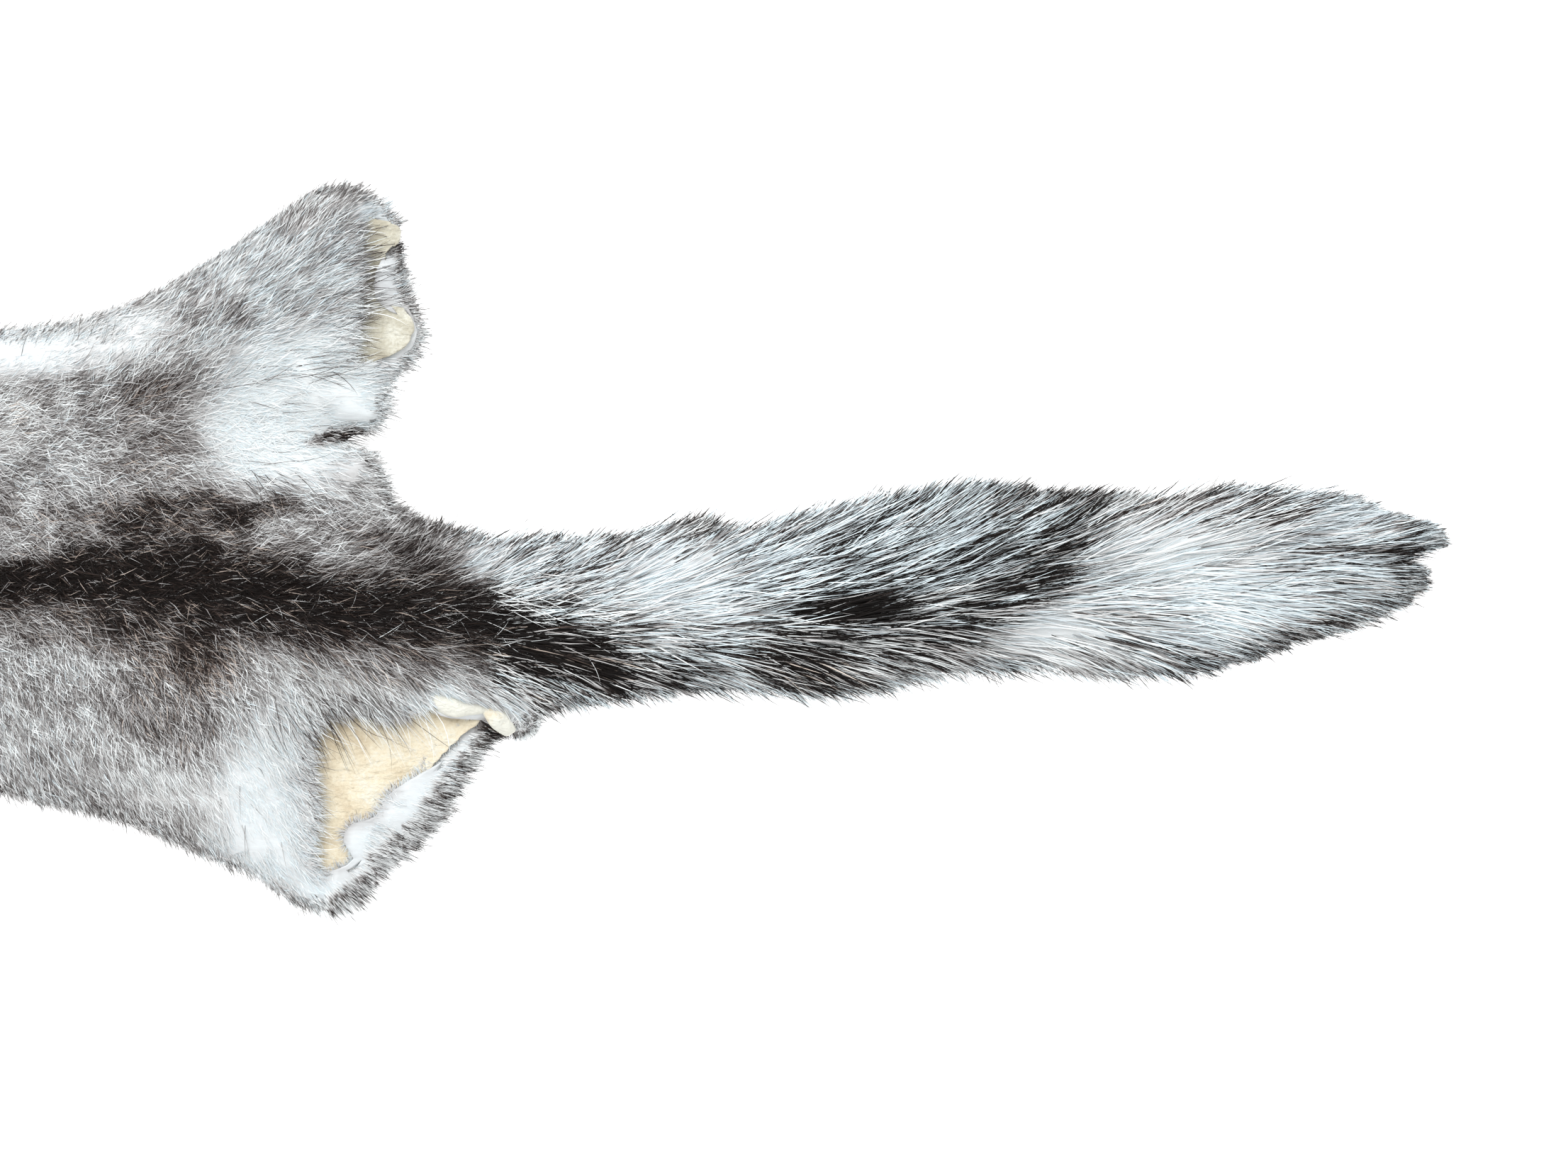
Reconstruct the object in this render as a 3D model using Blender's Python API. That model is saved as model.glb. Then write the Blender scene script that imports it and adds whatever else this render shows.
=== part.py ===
"""A cased mink pelt lying on its belly, back up, with its hind feet spread and its tail laid out straight.

The skin was drawn off whole, so the pelt is a flat tube: the back lies on the belly, leather to leather,
with a thin slit between them. The tube is open at the hind feet, where the back stops short and the leather
of the belly side shows. Fur stands all round. It is one piece of skin, so it is one solid.

Frame: metres, +Z up, the pelt flat on z = 0. The nose points to -X and the tail to +X. The animal's right
side, with the right hind foot, is at +Y. The origin is under the middle of the whole pelt.
"""
import math

import bmesh
import bpy
import numpy as np
from mathutils import Vector
from mathutils.geometry import delaunay_2d_cdt

# Driving sizes, in millimetres unless the name says otherwise
MM = 0.001
BODY_LENGTH = 569.0  # nose to the root of the tail
TAIL_LENGTH = 211.0  # root of the tail to the tip of its fur
TAIL_ROOT_X = (BODY_LENGTH - TAIL_LENGTH) / 2  # puts the middle of the pelt at x = 0

BELLY_LAYER = 7.0  # pressed fur and leather under the slit
SLIT_GAP = 1.2  # the back and the belly lie this far apart
BACK_HEIGHT = 17.0  # top of the fur along the spine
FLANK_HEIGHT = 13.5  # top of the fur beside the spine
SPINE_WIDTH = 24.0  # half width over which the spine stands above the flanks
TAIL_HEIGHT = 14.0
TAIL_BLEND = 45.0  # length over which the back sinks to the tail
HEAD_HEIGHT = 15.0
HEAD_BLEND_START = 440.0  # distance in front of the tail's root where the back starts to sink to the head
HEAD_BLEND = 90.0  # length over which it does
FOOT_EDGE_HEIGHT = 9.6  # fur beside the bare leather of the feet
FOOT_SLOPE = 0.42  # rise of the fur away from that leather

RIM_HEIGHT = 1.6  # thickness of a lock's tip
ROOT_HEIGHT = 3.4  # height of the fur at the roots of the locks
ROLL_WIDTH = 13.0  # width over which the fur rolls off to the rim

LOCK_PITCH = 6.6
LOCK_OUT = 1.0  # reach of a lock's tip past the outline
LOCK_IN = 1.7  # how far inside the outline a lock's root lies
LOCK_LEAN = 1.3  # drift of a lock's tip towards the tail
TAIL_LOCK_LEAN = 2.3
LOCK_UNEVEN = 0.45  # share by which the locks differ
SIDE_RUN = 0.8  # share of +X in the run of an edge that counts as a side of the tail
FOLDED = 0.86  # a chord this share of the pitch or shorter marks a sharp corner, which takes no lock
CORNER_IN = 0.7  # how far inside the outline the rim lies there
LOCK_SEED = 11

CELL = 5.6  # pitch of the points of the upper surface
CELL_MARGIN = 2.6  # least distance of those points from the rim
OUTLINE_STEP = 2.0  # pitch at which a smooth outline is read

LUMP_HEIGHT = 0.55  # height of the soft lumps of the pile
LUMP_LENGTH = 34.0  # along the fur
LUMP_WIDTH = 17.0  # across it
LUMP_SWAY = (0.6, 2.1)  # share of a lump's length by which its rows sway, and how often
LUMP_BREAK = (0.4, 1.7)  # share of its width by which the lumps are broken up, and how often

# Colours are linear; roughness from 0 to 1
FUR_COLOUR = (0.42, 0.40, 0.39, 1.0)
LEATHER_COLOUR = (0.72, 0.55, 0.36, 1.0)
FUR_ROUGHNESS = 0.85
LEATHER_ROUGHNESS = 0.7

# The outline of the fur, clockwise from above: (distance behind the root of the tail, distance to the right)
RIGHT_FLANK = [
    (-569, 3), (-565, 9), (-553, 16), (-538, 23), (-522, 27), (-505, 27), (-485, 28), (-462, 33),
    (-440, 37), (-424, 40), (-414, 50), (-402, 60), (-391, 61), (-387, 53), (-391, 43), (-380, 41.5),
    (-340, 42.5), (-280, 43.5), (-220, 44.5), (-160, 44.5), (-110, 44.5), (-79, 45.7), (-63, 49.3),
    (-47, 57.3), (-32.5, 66.4),
]
RIGHT_FOOT = [
    (-23, 73.3), (-17, 74.9), (-12, 73.6), (-8.4, 70.4), (-4.9, 67.8), (-5.2, 61), (-3.3, 56.5),
    (-3.6, 51), (-0.4, 47.4), (0.4, 43), (-2.2, 38), (-6.8, 34.2), (-7.1, 30), (-6.6, 26.4), (-9, 24.2),
    (-18.2, 22.8), (-11, 20), (-8.6, 16.4), (-8.1, 12), (-8.4, 8.2),
]
TAIL_RIGHT_EDGE = [
    (-3, 6.8), (4, 4.3), (12, 2.6), (28, 2.3), (41, 2.7), (50, 4.9), (58.5, 6.5), (62.6, 3.2),
    (70, 4.6), (86, 8.7), (100, 11.2), (114, 12.9), (123, 12), (129, 10.6), (139, 11.6), (153, 9.4),
    (162, 12.4), (171, 12.5), (180, 10.3), (191, 10.5), (198, 6.8), (206, 5.3),
]
TAIL_TIP = [(211, 1.6), (207, -0.3), (199.5, -1.9), (205, -3.9), (206.6, -7), (203.5, -10.6)]
TAIL_LEFT_EDGE = [
    (196, -14), (182, -19), (166, -24.4), (153, -27), (146, -26.2), (138.3, -27.8), (130, -24.8),
    (116, -26), (105, -25.6), (98, -28.4), (86, -30.4), (74, -29.9), (60, -29), (48, -30.4),
    (35, -32.2), (26, -33),
]
LEFT_FOOT = [
    (23.6, -36), (20.5, -39.6), (15.6, -39), (10.5, -41.4), (6.6, -47), (2.8, -54.2), (-4, -61.4),
    (-11, -67), (-13.6, -72), (-18, -74.6), (-23, -75), (-28, -73.2),
]
LEFT_FLANK = [
    (-35, -67.9), (-47, -63), (-60, -57), (-75, -53.4), (-95, -49.6), (-120, -47.6), (-170, -46),
    (-230, -44.8), (-290, -43.5), (-345, -42.3), (-383, -41.5), (-393, -43), (-389, -53), (-393, -61),
    (-404, -60), (-415, -50), (-426, -40), (-441, -37), (-463, -33), (-486, -28), (-506, -27),
    (-523, -27), (-539, -23), (-554, -16), (-566, -9), (-570, -3),
]

# The slit between back and belly
SLIT = [
    (-544, 9), (-520, 15), (-490, 16), (-450, 22), (-400, 28), (-330, 31), (-220, 33.5), (-110, 34.5),
    (-80, 35.5), (-60, 40), (-45, 48), (-30, 58), (-20, 64), (-14, 67.4), (-6.3, 67.3), (-7.2, 60.6),
    (-9.2, 56), (-9.2, 51.4), (-6.6, 49), (-2.2, 46.9), (-1.9, 41.8), (-6.6, 37.3), (-14, 33),
    (-20, 28), (-24, 20), (-22, 9), (-14, 1), (-6, -18), (0, -29.5), (4.4, -33.6), (14.4, -35.7),
    (9.6, -39.8), (5.4, -44), (-1.8, -48.3), (-6.6, -51.6), (-9.4, -56.2), (-13.6, -58), (-15.2, -60.6),
    (-13, -64.2), (-17.4, -67.4), (-24, -67.4), (-31, -60), (-47, -51), (-62, -46), (-80, -42),
    (-110, -38), (-170, -35.5), (-270, -33.5), (-340, -31), (-400, -28), (-450, -22), (-490, -16),
    (-520, -15), (-544, -9),
]
# Where the back stops short of the belly and its leather shows
RIGHT_FOOT_WINDOW = [
    (-13.4, 65.4), (-7.2, 66.6), (-8, 60.4), (-10.1, 56), (-10.1, 51), (-7.4, 48.2), (-3.4, 46.2),
    (-2.9, 42.4), (-6.9, 38.6), (-14.4, 37.4), (-13.6, 43), (-12.6, 48), (-12.8, 55), (-13.2, 60),
]
LEFT_FOOT_WINDOW = [
    (-22.9, -36.6), (-15.6, -33.2), (-6.8, -34.4), (0.4, -31.6), (3.2, -34.6), (13, -36), (9.2, -38.8),
    (4.9, -43), (-2.2, -47.2), (-7.4, -50.8), (-10.2, -55.2), (-15.2, -57), (-16.7, -60.2),
    (-14.6, -63.8), (-18, -66), (-22.4, -66.4), (-23.4, -61), (-22.6, -52), (-24, -42),
]

# Broad ridges and partings of the fur: place, half length, half width, turn from +X in degrees, height
RELIEF_COLUMNS = ("behind", "right", "length", "width", "turn", "height")
RELIEF = [
    # ears
    (-521, 17, 8, 6, 60, 4.0),
    (-521, -17, 8, 6, -60, 4.0),
    # neck hollow and shoulders
    (-482, 0, 26, 30, 0, -1.8),
    (-412, 24, 34, 14, 20, 1.4),
    (-412, -24, 34, 14, -20, 1.4),
    # long low waves of the skin along the back
    (-330, 14, 40, 18, 10, 1.0),
    (-265, -16, 42, 18, -8, 0.9),
    (-190, 12, 38, 16, 6, 0.9),
    (-130, -14, 34, 18, -6, 1.0),
    # rump and thighs
    (-52, -8, 34, 16, -4, 1.3),
    (-44, 40, 30, 11, 42, 1.8),
    (-46, -44, 30, 11, -46, 1.6),
    (-30, 22, 17, 9, 0, -2.4),
    (-30, -57, 8, 15, 10, -1.8),
    # partings and twists along the tail
    (20, -4, 17, 7, -14, -2.0),
    (34, -16, 24, 8, -20, 1.6),
    (52, -9, 14, 8, -10, -1.8),
    (92, -2, 38, 8, 18, 1.8),
    (66, -25, 22, 6, -8, -1.2),
    (124, -12, 16, 7, 24, 1.4),
    (150, -8, 28, 9, 12, -2.6),
    (186, -2, 14, 6, 8, -1.4),
    (176, -16, 16, 6, 24, 1.0),
]


def clear_scene():
    for old in list(bpy.data.objects):
        bpy.data.objects.remove(old)


def collection(name):
    made = bpy.data.collections.new(name)
    bpy.context.scene.collection.children.link(made)
    return made


def material(name, colour, roughness):
    made = bpy.data.materials.new(name)
    made.use_nodes = True
    surface = made.node_tree.nodes["Principled BSDF"]
    surface.inputs["Base Color"].default_value = colour
    surface.inputs["Roughness"].default_value = roughness
    surface.inputs["Metallic"].default_value = 0.0
    made.diffuse_color = colour
    return made


def smooth_outline(corners, step=OUTLINE_STEP):
    """Points a step apart on a smooth closed curve through the corners (centripetal Catmull-Rom)."""
    p = np.array(corners, float)
    before, after, beyond = (np.roll(p, shift, axis=0) for shift in (1, -1, -2))
    knots = [np.zeros(len(p))]
    for a, b in ((before, p), (p, after), (after, beyond)):
        knots.append(knots[-1] + np.sqrt(np.linalg.norm(b - a, axis=1)))
    curve = []
    for i in range(len(p)):
        k0, k1, k2, k3 = (k[i] for k in knots)
        pieces = max(1, int(round(np.linalg.norm(after[i] - p[i]) / step)))
        for t in np.linspace(k1, k2, pieces, endpoint=False):
            a1 = ((k1 - t) * before[i] + (t - k0) * p[i]) / (k1 - k0)
            a2 = ((k2 - t) * p[i] + (t - k1) * after[i]) / (k2 - k1)
            a3 = ((k3 - t) * after[i] + (t - k2) * beyond[i]) / (k3 - k2)
            b1 = ((k2 - t) * a1 + (t - k0) * a2) / (k2 - k0)
            b2 = ((k3 - t) * a2 + (t - k1) * a3) / (k3 - k1)
            curve.append(((k2 - t) * b1 + (t - k1) * b2) / (k2 - k1))
    return np.array(curve)


def read_at(curve, distances):
    """Points of a closed curve at these distances along it."""
    closed = np.vstack([curve, curve[:1]])
    along = np.concatenate([[0], np.cumsum(np.linalg.norm(np.diff(closed, axis=0), axis=1))])
    at = np.mod(distances, along[-1])
    return np.stack([np.interp(at, along, closed[:, k]) for k in (0, 1)], axis=1)


def length_of(curve):
    return np.linalg.norm(np.roll(curve, -1, axis=0) - curve, axis=1).sum()


def distance_to(curve, points):
    """Distance from each point to the nearest stretch of a closed curve."""
    start = curve[None]
    run = (np.roll(curve, -1, axis=0) - curve)[None]
    offset = points[:, None] - start
    share = np.clip((offset * run).sum(2) / np.maximum((run * run).sum(2), 1e-12), 0, 1)
    return np.linalg.norm(offset - share[..., None] * run, axis=2).min(1)


def inside(curve, points):
    """Which points lie inside a closed curve."""
    x, y = points[:, :1], points[:, 1:]
    x0, y0 = curve[:, 0][None], curve[:, 1][None]
    x1, y1 = (np.roll(curve[:, k], -1)[None] for k in (0, 1))
    crosses = (y0 > y) != (y1 > y)
    rise = np.where(y1 == y0, 1.0, y1 - y0)
    return (crosses & (x < (x1 - x0) * (y - y0) / rise + x0)).sum(1) % 2 == 1


def rim_with_locks(outline):
    """The outline as a rim of pointed locks that lean towards the tail: a root, a tip, a root and so on."""
    uneven = np.random.default_rng(LOCK_SEED)
    count = int(length_of(outline) // LOCK_PITCH)
    pitch = length_of(outline) / count
    roots = read_at(outline, np.arange(count) * pitch)
    middles = read_at(outline, (np.arange(count) + 0.5) * pitch)
    rim = []
    for root, middle, following in zip(roots, middles, np.roll(roots, -1, axis=0)):
        chord = np.linalg.norm(following - root)
        run = (following - root) / chord
        outward = np.array([-run[1], run[0]])
        size = 1 + LOCK_UNEVEN * (2 * uneven.random() - 1)
        if chord < FOLDED * pitch:
            rim.append(root - CORNER_IN * outward)
            continue
        beside_tail = middle[0] > 0 and abs(run[0]) > SIDE_RUN
        lean = TAIL_LOCK_LEAN if beside_tail else LOCK_LEAN
        drift = np.array([1.0, 0.0]) - outward[0] * outward
        rim.append(root - LOCK_IN * outward)
        rim.append(middle + size * (LOCK_OUT * outward + lean * drift))
    return np.array(rim)


def surface_cells(rim):
    """Points of a regular grid of triangles, inside the rim and clear of it."""
    low, high = rim.min(0), rim.max(0)
    rows = np.arange(low[1], high[1], CELL * math.sqrt(3) / 2)
    points = [
        (x + CELL / 2 * (k % 2), y)
        for k, y in enumerate(rows)
        for x in np.arange(low[0], high[0], CELL)
    ]
    points = np.array(points)
    points = points[inside(rim, points)]
    return points[distance_to(rim, points) > CELL_MARGIN]


def relief(points):
    total = np.zeros(len(points))
    for row in RELIEF:
        lump = dict(zip(RELIEF_COLUMNS, row))
        turn = math.radians(lump["turn"])
        away = points - np.array([lump["behind"], lump["right"]])
        along = (away[:, 0] * math.cos(turn) + away[:, 1] * math.sin(turn)) / lump["length"]
        across = (away[:, 1] * math.cos(turn) - away[:, 0] * math.sin(turn)) / lump["width"]
        total += lump["height"] * np.exp(-(along**2 + across**2))
    return total


def pile_lumps(points):
    """Soft lumps drawn out along the fur."""
    x, y = points[:, 0] / LUMP_LENGTH, points[:, 1] / LUMP_WIDTH
    along = x + LUMP_SWAY[0] * np.sin(LUMP_SWAY[1] * y)
    across = y + LUMP_BREAK[0] * np.sin(LUMP_BREAK[1] * x)
    return LUMP_HEIGHT * np.sin(2 * math.pi * along) * np.cos(2 * math.pi * across)


def fur_height(points, outline, windows):
    """Height of the fur over the floor at each point of the plan."""
    x, y = points[:, 0], points[:, 1]
    spine = np.exp(-((y / SPINE_WIDTH) ** 2))
    crown = FLANK_HEIGHT + (BACK_HEIGHT - FLANK_HEIGHT) * spine
    towards_tail = np.clip(x / TAIL_BLEND + 0.5, 0, 1)
    crown += (TAIL_HEIGHT - crown) * towards_tail
    towards_nose = np.clip((-x - HEAD_BLEND_START) / HEAD_BLEND, 0, 1)
    crown += (HEAD_HEIGHT - crown) * towards_nose
    crown += relief(points) + pile_lumps(points)
    for window in windows:
        crown = np.minimum(crown, FOOT_EDGE_HEIGHT + FOOT_SLOPE * distance_to(window, points))
    depth = np.where(inside(outline, points), distance_to(outline, points), -LOCK_OUT)
    roll = np.clip(depth / ROLL_WIDTH, 0, 1)
    rolled = ROOT_HEIGHT + (crown - ROOT_HEIGHT) * np.sqrt(1 - (1 - roll) ** 2)
    return np.where(depth < 0, RIM_HEIGHT, rolled)


def in_frame(points, height):
    """Plan points and their height, from millimetres behind the root of the tail to metres in the frame."""
    return [Vector(((x + TAIL_ROOT_X) * MM, y * MM, z * MM)) for (x, y), z in zip(points, height)]


def add_object(name, mesh, home, *materials):
    made = bpy.data.objects.new(name, mesh)
    for m in materials:
        mesh.materials.append(m)
    home.objects.link(made)
    return made


def fur_slab(outline, windows):
    """The whole pelt as a slab of fur: flat below, lumpy above, with locks round its rim."""
    rim = rim_with_locks(outline)
    plan = np.vstack([rim, surface_cells(rim)])
    edges = [(i, (i + 1) % len(rim)) for i in range(len(rim))]
    plan_points = [Vector(p) for p in plan]
    found, _, triangles, *_ = delaunay_2d_cdt(plan_points, edges, [list(range(len(rim)))], 1, 1e-6)
    plan = np.array([tuple(p) for p in found])
    top = in_frame(plan, fur_height(plan, outline, windows))

    shape = bmesh.new()
    floor = [shape.verts.new((p.x, p.y, 0)) for p in top]
    for corners in triangles:
        shape.faces.new([floor[i] for i in corners])
    bmesh.ops.recalc_face_normals(shape, faces=shape.faces)
    lower = list(shape.faces)
    raised = bmesh.ops.extrude_face_region(shape, geom=lower, use_keep_orig=True)["geom"]
    heights = {(round(p.x, 7), round(p.y, 7)): p.z for p in top}
    for v in raised:
        if isinstance(v, bmesh.types.BMVert):
            v.co.z = heights[(round(v.co.x, 7), round(v.co.y, 7))]
    bmesh.ops.dissolve_faces(shape, faces=lower)
    bmesh.ops.recalc_face_normals(shape, faces=shape.faces)
    mesh = bpy.data.meshes.new("pelt")
    shape.to_mesh(mesh)
    shape.free()
    return mesh


def plate(name, outline, low, high):
    """A flat plate with this outline, from one height to another."""
    shape = bmesh.new()
    face = shape.faces.new([shape.verts.new(p) for p in in_frame(outline, np.full(len(outline), low))])
    raised = bmesh.ops.extrude_face_region(shape, geom=[face], use_keep_orig=True)["geom"]
    upper = [v for v in raised if isinstance(v, bmesh.types.BMVert)]
    bmesh.ops.translate(shape, verts=upper, vec=(0, 0, (high - low) * MM))
    bmesh.ops.recalc_face_normals(shape, faces=shape.faces)
    mesh = bpy.data.meshes.new(name)
    shape.to_mesh(mesh)
    shape.free()
    return mesh


def cut(body, cutter):
    cutter.hide_render = True
    cutter.display_type = "WIRE"
    boolean = body.modifiers.new(cutter.name, "BOOLEAN")
    boolean.operation = "DIFFERENCE"
    boolean.solver = "EXACT"
    boolean.material_mode = "TRANSFER"
    boolean.object = cutter


def build():
    clear_scene()
    parts = collection("mink_pelt")
    cutters = collection("cutters")
    fur = material("silver_cross_fur", FUR_COLOUR, FUR_ROUGHNESS)
    leather = material("cream_leather", LEATHER_COLOUR, LEATHER_ROUGHNESS)

    edge = RIGHT_FLANK + RIGHT_FOOT + TAIL_RIGHT_EDGE + TAIL_TIP + TAIL_LEFT_EDGE + LEFT_FOOT + LEFT_FLANK
    windows = {
        "right_foot_window": smooth_outline(RIGHT_FOOT_WINDOW),
        "left_foot_window": smooth_outline(LEFT_FOOT_WINDOW),
    }
    pelt = add_object("pelt", fur_slab(smooth_outline(edge), windows.values()), parts, fur)

    slit = plate("slit", smooth_outline(SLIT), BELLY_LAYER, BELLY_LAYER + SLIT_GAP)
    cut(pelt, add_object("slit", slit, cutters, leather))
    for name, outline in windows.items():
        window = plate(name, outline, BELLY_LAYER + SLIT_GAP / 2, 2 * BACK_HEIGHT)
        cut(pelt, add_object(name, window, cutters, fur))


build()
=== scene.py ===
"""A whole mink pelt, laid flat on its belly with the hind feet spread and the tail out straight.

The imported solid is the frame. An undercoat takes its place, and strands of fur stand on that: short wool,
guard hair, the long brush of the tail, a fringe round the rim and loose hairs. Two pieces of bare leather and
two curled edges show at the hind feet, where the back of the skin stops short of the belly.

Objects are in metres, +Z up. The tables give places in millimetres from the root of the tail: the distance
behind it, towards the tip of the tail, and the distance to the animal's right. Angles are in degrees, from
the way to the tip of the tail towards the animal's right. A shade runs from 0, the black of the stripe, to 1,
white.
"""
import math

import bmesh
import bpy
import numpy as np
from bpy.props import FloatProperty, FloatVectorProperty, IntProperty, PointerProperty
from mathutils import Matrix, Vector
from mathutils.bvhtree import BVHTree
from mathutils.kdtree import KDTree


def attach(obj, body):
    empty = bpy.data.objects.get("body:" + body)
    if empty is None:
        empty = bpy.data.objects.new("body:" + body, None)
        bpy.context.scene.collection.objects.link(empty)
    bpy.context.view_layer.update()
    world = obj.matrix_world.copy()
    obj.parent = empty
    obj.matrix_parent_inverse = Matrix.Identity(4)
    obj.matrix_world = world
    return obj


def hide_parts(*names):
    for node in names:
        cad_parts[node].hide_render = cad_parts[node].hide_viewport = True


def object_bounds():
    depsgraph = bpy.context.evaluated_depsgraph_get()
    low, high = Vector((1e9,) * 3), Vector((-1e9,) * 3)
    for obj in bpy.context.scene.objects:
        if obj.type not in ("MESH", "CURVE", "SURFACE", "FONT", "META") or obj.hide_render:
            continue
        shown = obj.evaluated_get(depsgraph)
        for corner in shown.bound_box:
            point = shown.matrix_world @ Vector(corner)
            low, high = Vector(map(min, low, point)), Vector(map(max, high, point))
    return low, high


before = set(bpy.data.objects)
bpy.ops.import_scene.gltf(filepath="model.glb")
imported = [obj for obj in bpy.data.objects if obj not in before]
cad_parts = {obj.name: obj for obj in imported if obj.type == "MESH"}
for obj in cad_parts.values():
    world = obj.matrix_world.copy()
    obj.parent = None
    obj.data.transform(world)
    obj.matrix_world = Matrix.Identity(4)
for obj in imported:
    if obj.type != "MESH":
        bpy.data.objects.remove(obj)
CAD_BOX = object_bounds()

bl_info = {
    "name": "Mink Pelt",
    "version": (1, 0, 0),
    "blender": (4, 5, 0),
    "location": "3D View > Sidebar > Pelt",
    "description": "Dresses a flat mink pelt in wool, guard hair and leather, and lights it",
    "category": "Object",
}

NODE = "pelt"
BODY = "root"
MM = 0.001
TAIL_ROOT_X = 0.179  # the root of the tail in the frame
HIND_START = -95.0  # in front of this the photograph shows nothing, and the fur is coarser
TAIL_START = 3.0

GRID = 1.25  # pitch of the maps of height and of distance to the rim
MAP_MARGIN = 24.0
HEIGHT_BLUR = 2  # cells
RIM_BLUR = 2
RAY_HEIGHT = 0.2  # metres, well over the pelt
FAR = 99.0  # distance to the leather where it isn't near
LEATHER_NEAR = 45.0  # the distance to it is worked out this far from its middle
# Where the rim is followed into its notches: place, radius, how closely
SHARP_RIMS = [(202, -1, 12, 1), (19, -37, 7, 0.8), (-15, 22, 5, 1), (-4, 62, 6, 0.35), (-3, 44, 6, 0.35),
              (181, -21, 13, 0.8)]
DROOP = 5.0  # distance past the rim over which the fur sinks
LIP_DROOP = 2.5  # the same past the back's edge, over the leather
LEATHER_CLEAR = 1.1  # height of that fur over the leather's underside
FLOOR_CLEAR = 0.35  # no strand lies lower than this
FLOOR_DROP = 0.0002  # metres from the pelt's underside down to the floor
RIM_SAMPLE = 0.5  # between the points taken along the rim

# The way the fur lies: distance behind, and across it pairs of distance to the right and heading
FLOW = [
    (-569, ((-20, -20), (20, 20))),
    (-500, ((-30, -30), (0, 0), (30, 30))),
    (-400, ((-45, -40), (-20, -14), (0, 0), (20, 14), (45, 40))),
    (-120, ((-46, -62), (-30, -46), (-15, -22), (-6, 0), (5, 6), (20, 16), (35, 34), (45, 40))),
    (-87, ((-48, -58), (-30, -66), (-18, -45), (-7, -3), (3, -12), (15, -16), (28, 18), (40, 36))),
    (-60, ((-56, -56), (-35, -65), (-20, -45), (-7, -3), (6, -12), (18, -14), (30, 32), (46, 40))),
    (-45, ((-62, -58), (-38, -62), (-22, -55), (-8, 3), (8, -10), (20, -8), (35, 40), (57, 52))),
    (-30, ((-72, -52), (-50, -64), (-35, -56), (-22, -50), (-8, 8), (2, 8), (12, -36), (22, -8), (35, 8),
           (45, 30), (55, 48), (67, 68))),
    (-15, ((-73, -50), (-62, -30), (-52, -16), (-44, -24), (-36, -46), (-20, -36), (-10, 8), (3, 30),
           (9, -22), (22, -4), (40, 4), (50, 8), (62, 22), (73, 46))),
    (-5, ((-62, -24), (-50, -12), (-42, -14), (-36, -48), (-22, -32), (-11, 5), (-4, 35), (4, 54), (9, -6),
          (25, -5), (36, -28), (46, -10), (52, 14), (65, 18))),
    (8, ((-45, -8), (-39, -10), (-34, -32), (-26, -32), (-14, 2), (-6, 30), (3, 58))),
    (22, ((-40, -36), (-30, -46), (-19, -8), (-8, 28), (3, 48))),
    (40, ((-32, -52), (-23, -18), (-14, 6), (-4, 30), (4, 44))),
    (60, ((-30, -45), (-22, -20), (-15, 3), (-6, 25), (6, 46))),
    (85, ((-30, -40), (-24, -22), (-17, 2), (-8, 18), (0, 32), (9, 50))),
    (105, ((-26, -42), (-20, -18), (-15, 2), (-6, 20), (4, 40), (12, 50))),
    (125, ((-26, -56), (-19, -28), (-12, 5), (-4, 24), (4, 38), (12, 48))),
    (145, ((-27, -34), (-18, -14), (-8, 6), (0, 20), (6, 30), (11, 40))),
    (165, ((-25, -20), (-12, -6), (-2, 6), (6, 20), (12, 30))),
    (185, ((-18, -14), (-8, -6), (0, 4), (10, 18))),
    (205, ((-12, -10), (0, 0), (5, 6))),
]
# Length of the guard hair: distance behind, length
LENGTHS = [
    (-569, 3.0), (-530, 4.5), (-430, 7.0), (-120, 6.2), (-80, 5.2), (-40, 5.6), (-12, 7.4), (8, 9.5),
    (30, 13.0), (60, 18.0), (90, 21.0), (150, 22.0), (185, 20.0), (205, 15.0),
]
# The fur of the left foot is no longer than this, in front of and to the left of these places
LEFT_FOOT_LENGTH, LEFT_FOOT_END, LEFT_FOOT_SIDE = 8.0, 26, -33
# The dark stripe down the back: distance behind, its middle, its half width, its shade, how much it covers
STRIPE = [
    (-569, 0, 7, 0.2, 0.6), (-480, 0, 11, 0.12, 1), (-400, -1, 11, 0.1, 1), (-250, -3, 8, 0.08, 1),
    (-120, -6.6, 4.6, 0.06, 1), (-87, -7, 4.2, 0.06, 1), (-75, -7.4, 5.6, 0.06, 1), (-65, -7, 7.8, 0.07, 1),
    (-57, -6.8, 9.8, 0.08, 1), (-46, -7.4, 11, 0.08, 1), (-36, -9.4, 10.2, 0.07, 1),
    (-28, -11.8, 8.8, 0.07, 1), (-20, -12.8, 8, 0.06, 1), (-10, -12.8, 7.8, 0.06, 1), (0, -13, 7.8, 0.06, 1),
    (10, -15.4, 7.2, 0.05, 1), (18, -18.6, 6.8, 0.05, 1), (26, -21, 6.6, 0.08, 1), (34, -23, 5.8, 0.13, 0.9),
    (42, -25.4, 4, 0.28, 0.8), (50, -27, 2.4, 0.36, 0.5), (58, -27, 2, 0.4, 0),
]
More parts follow.
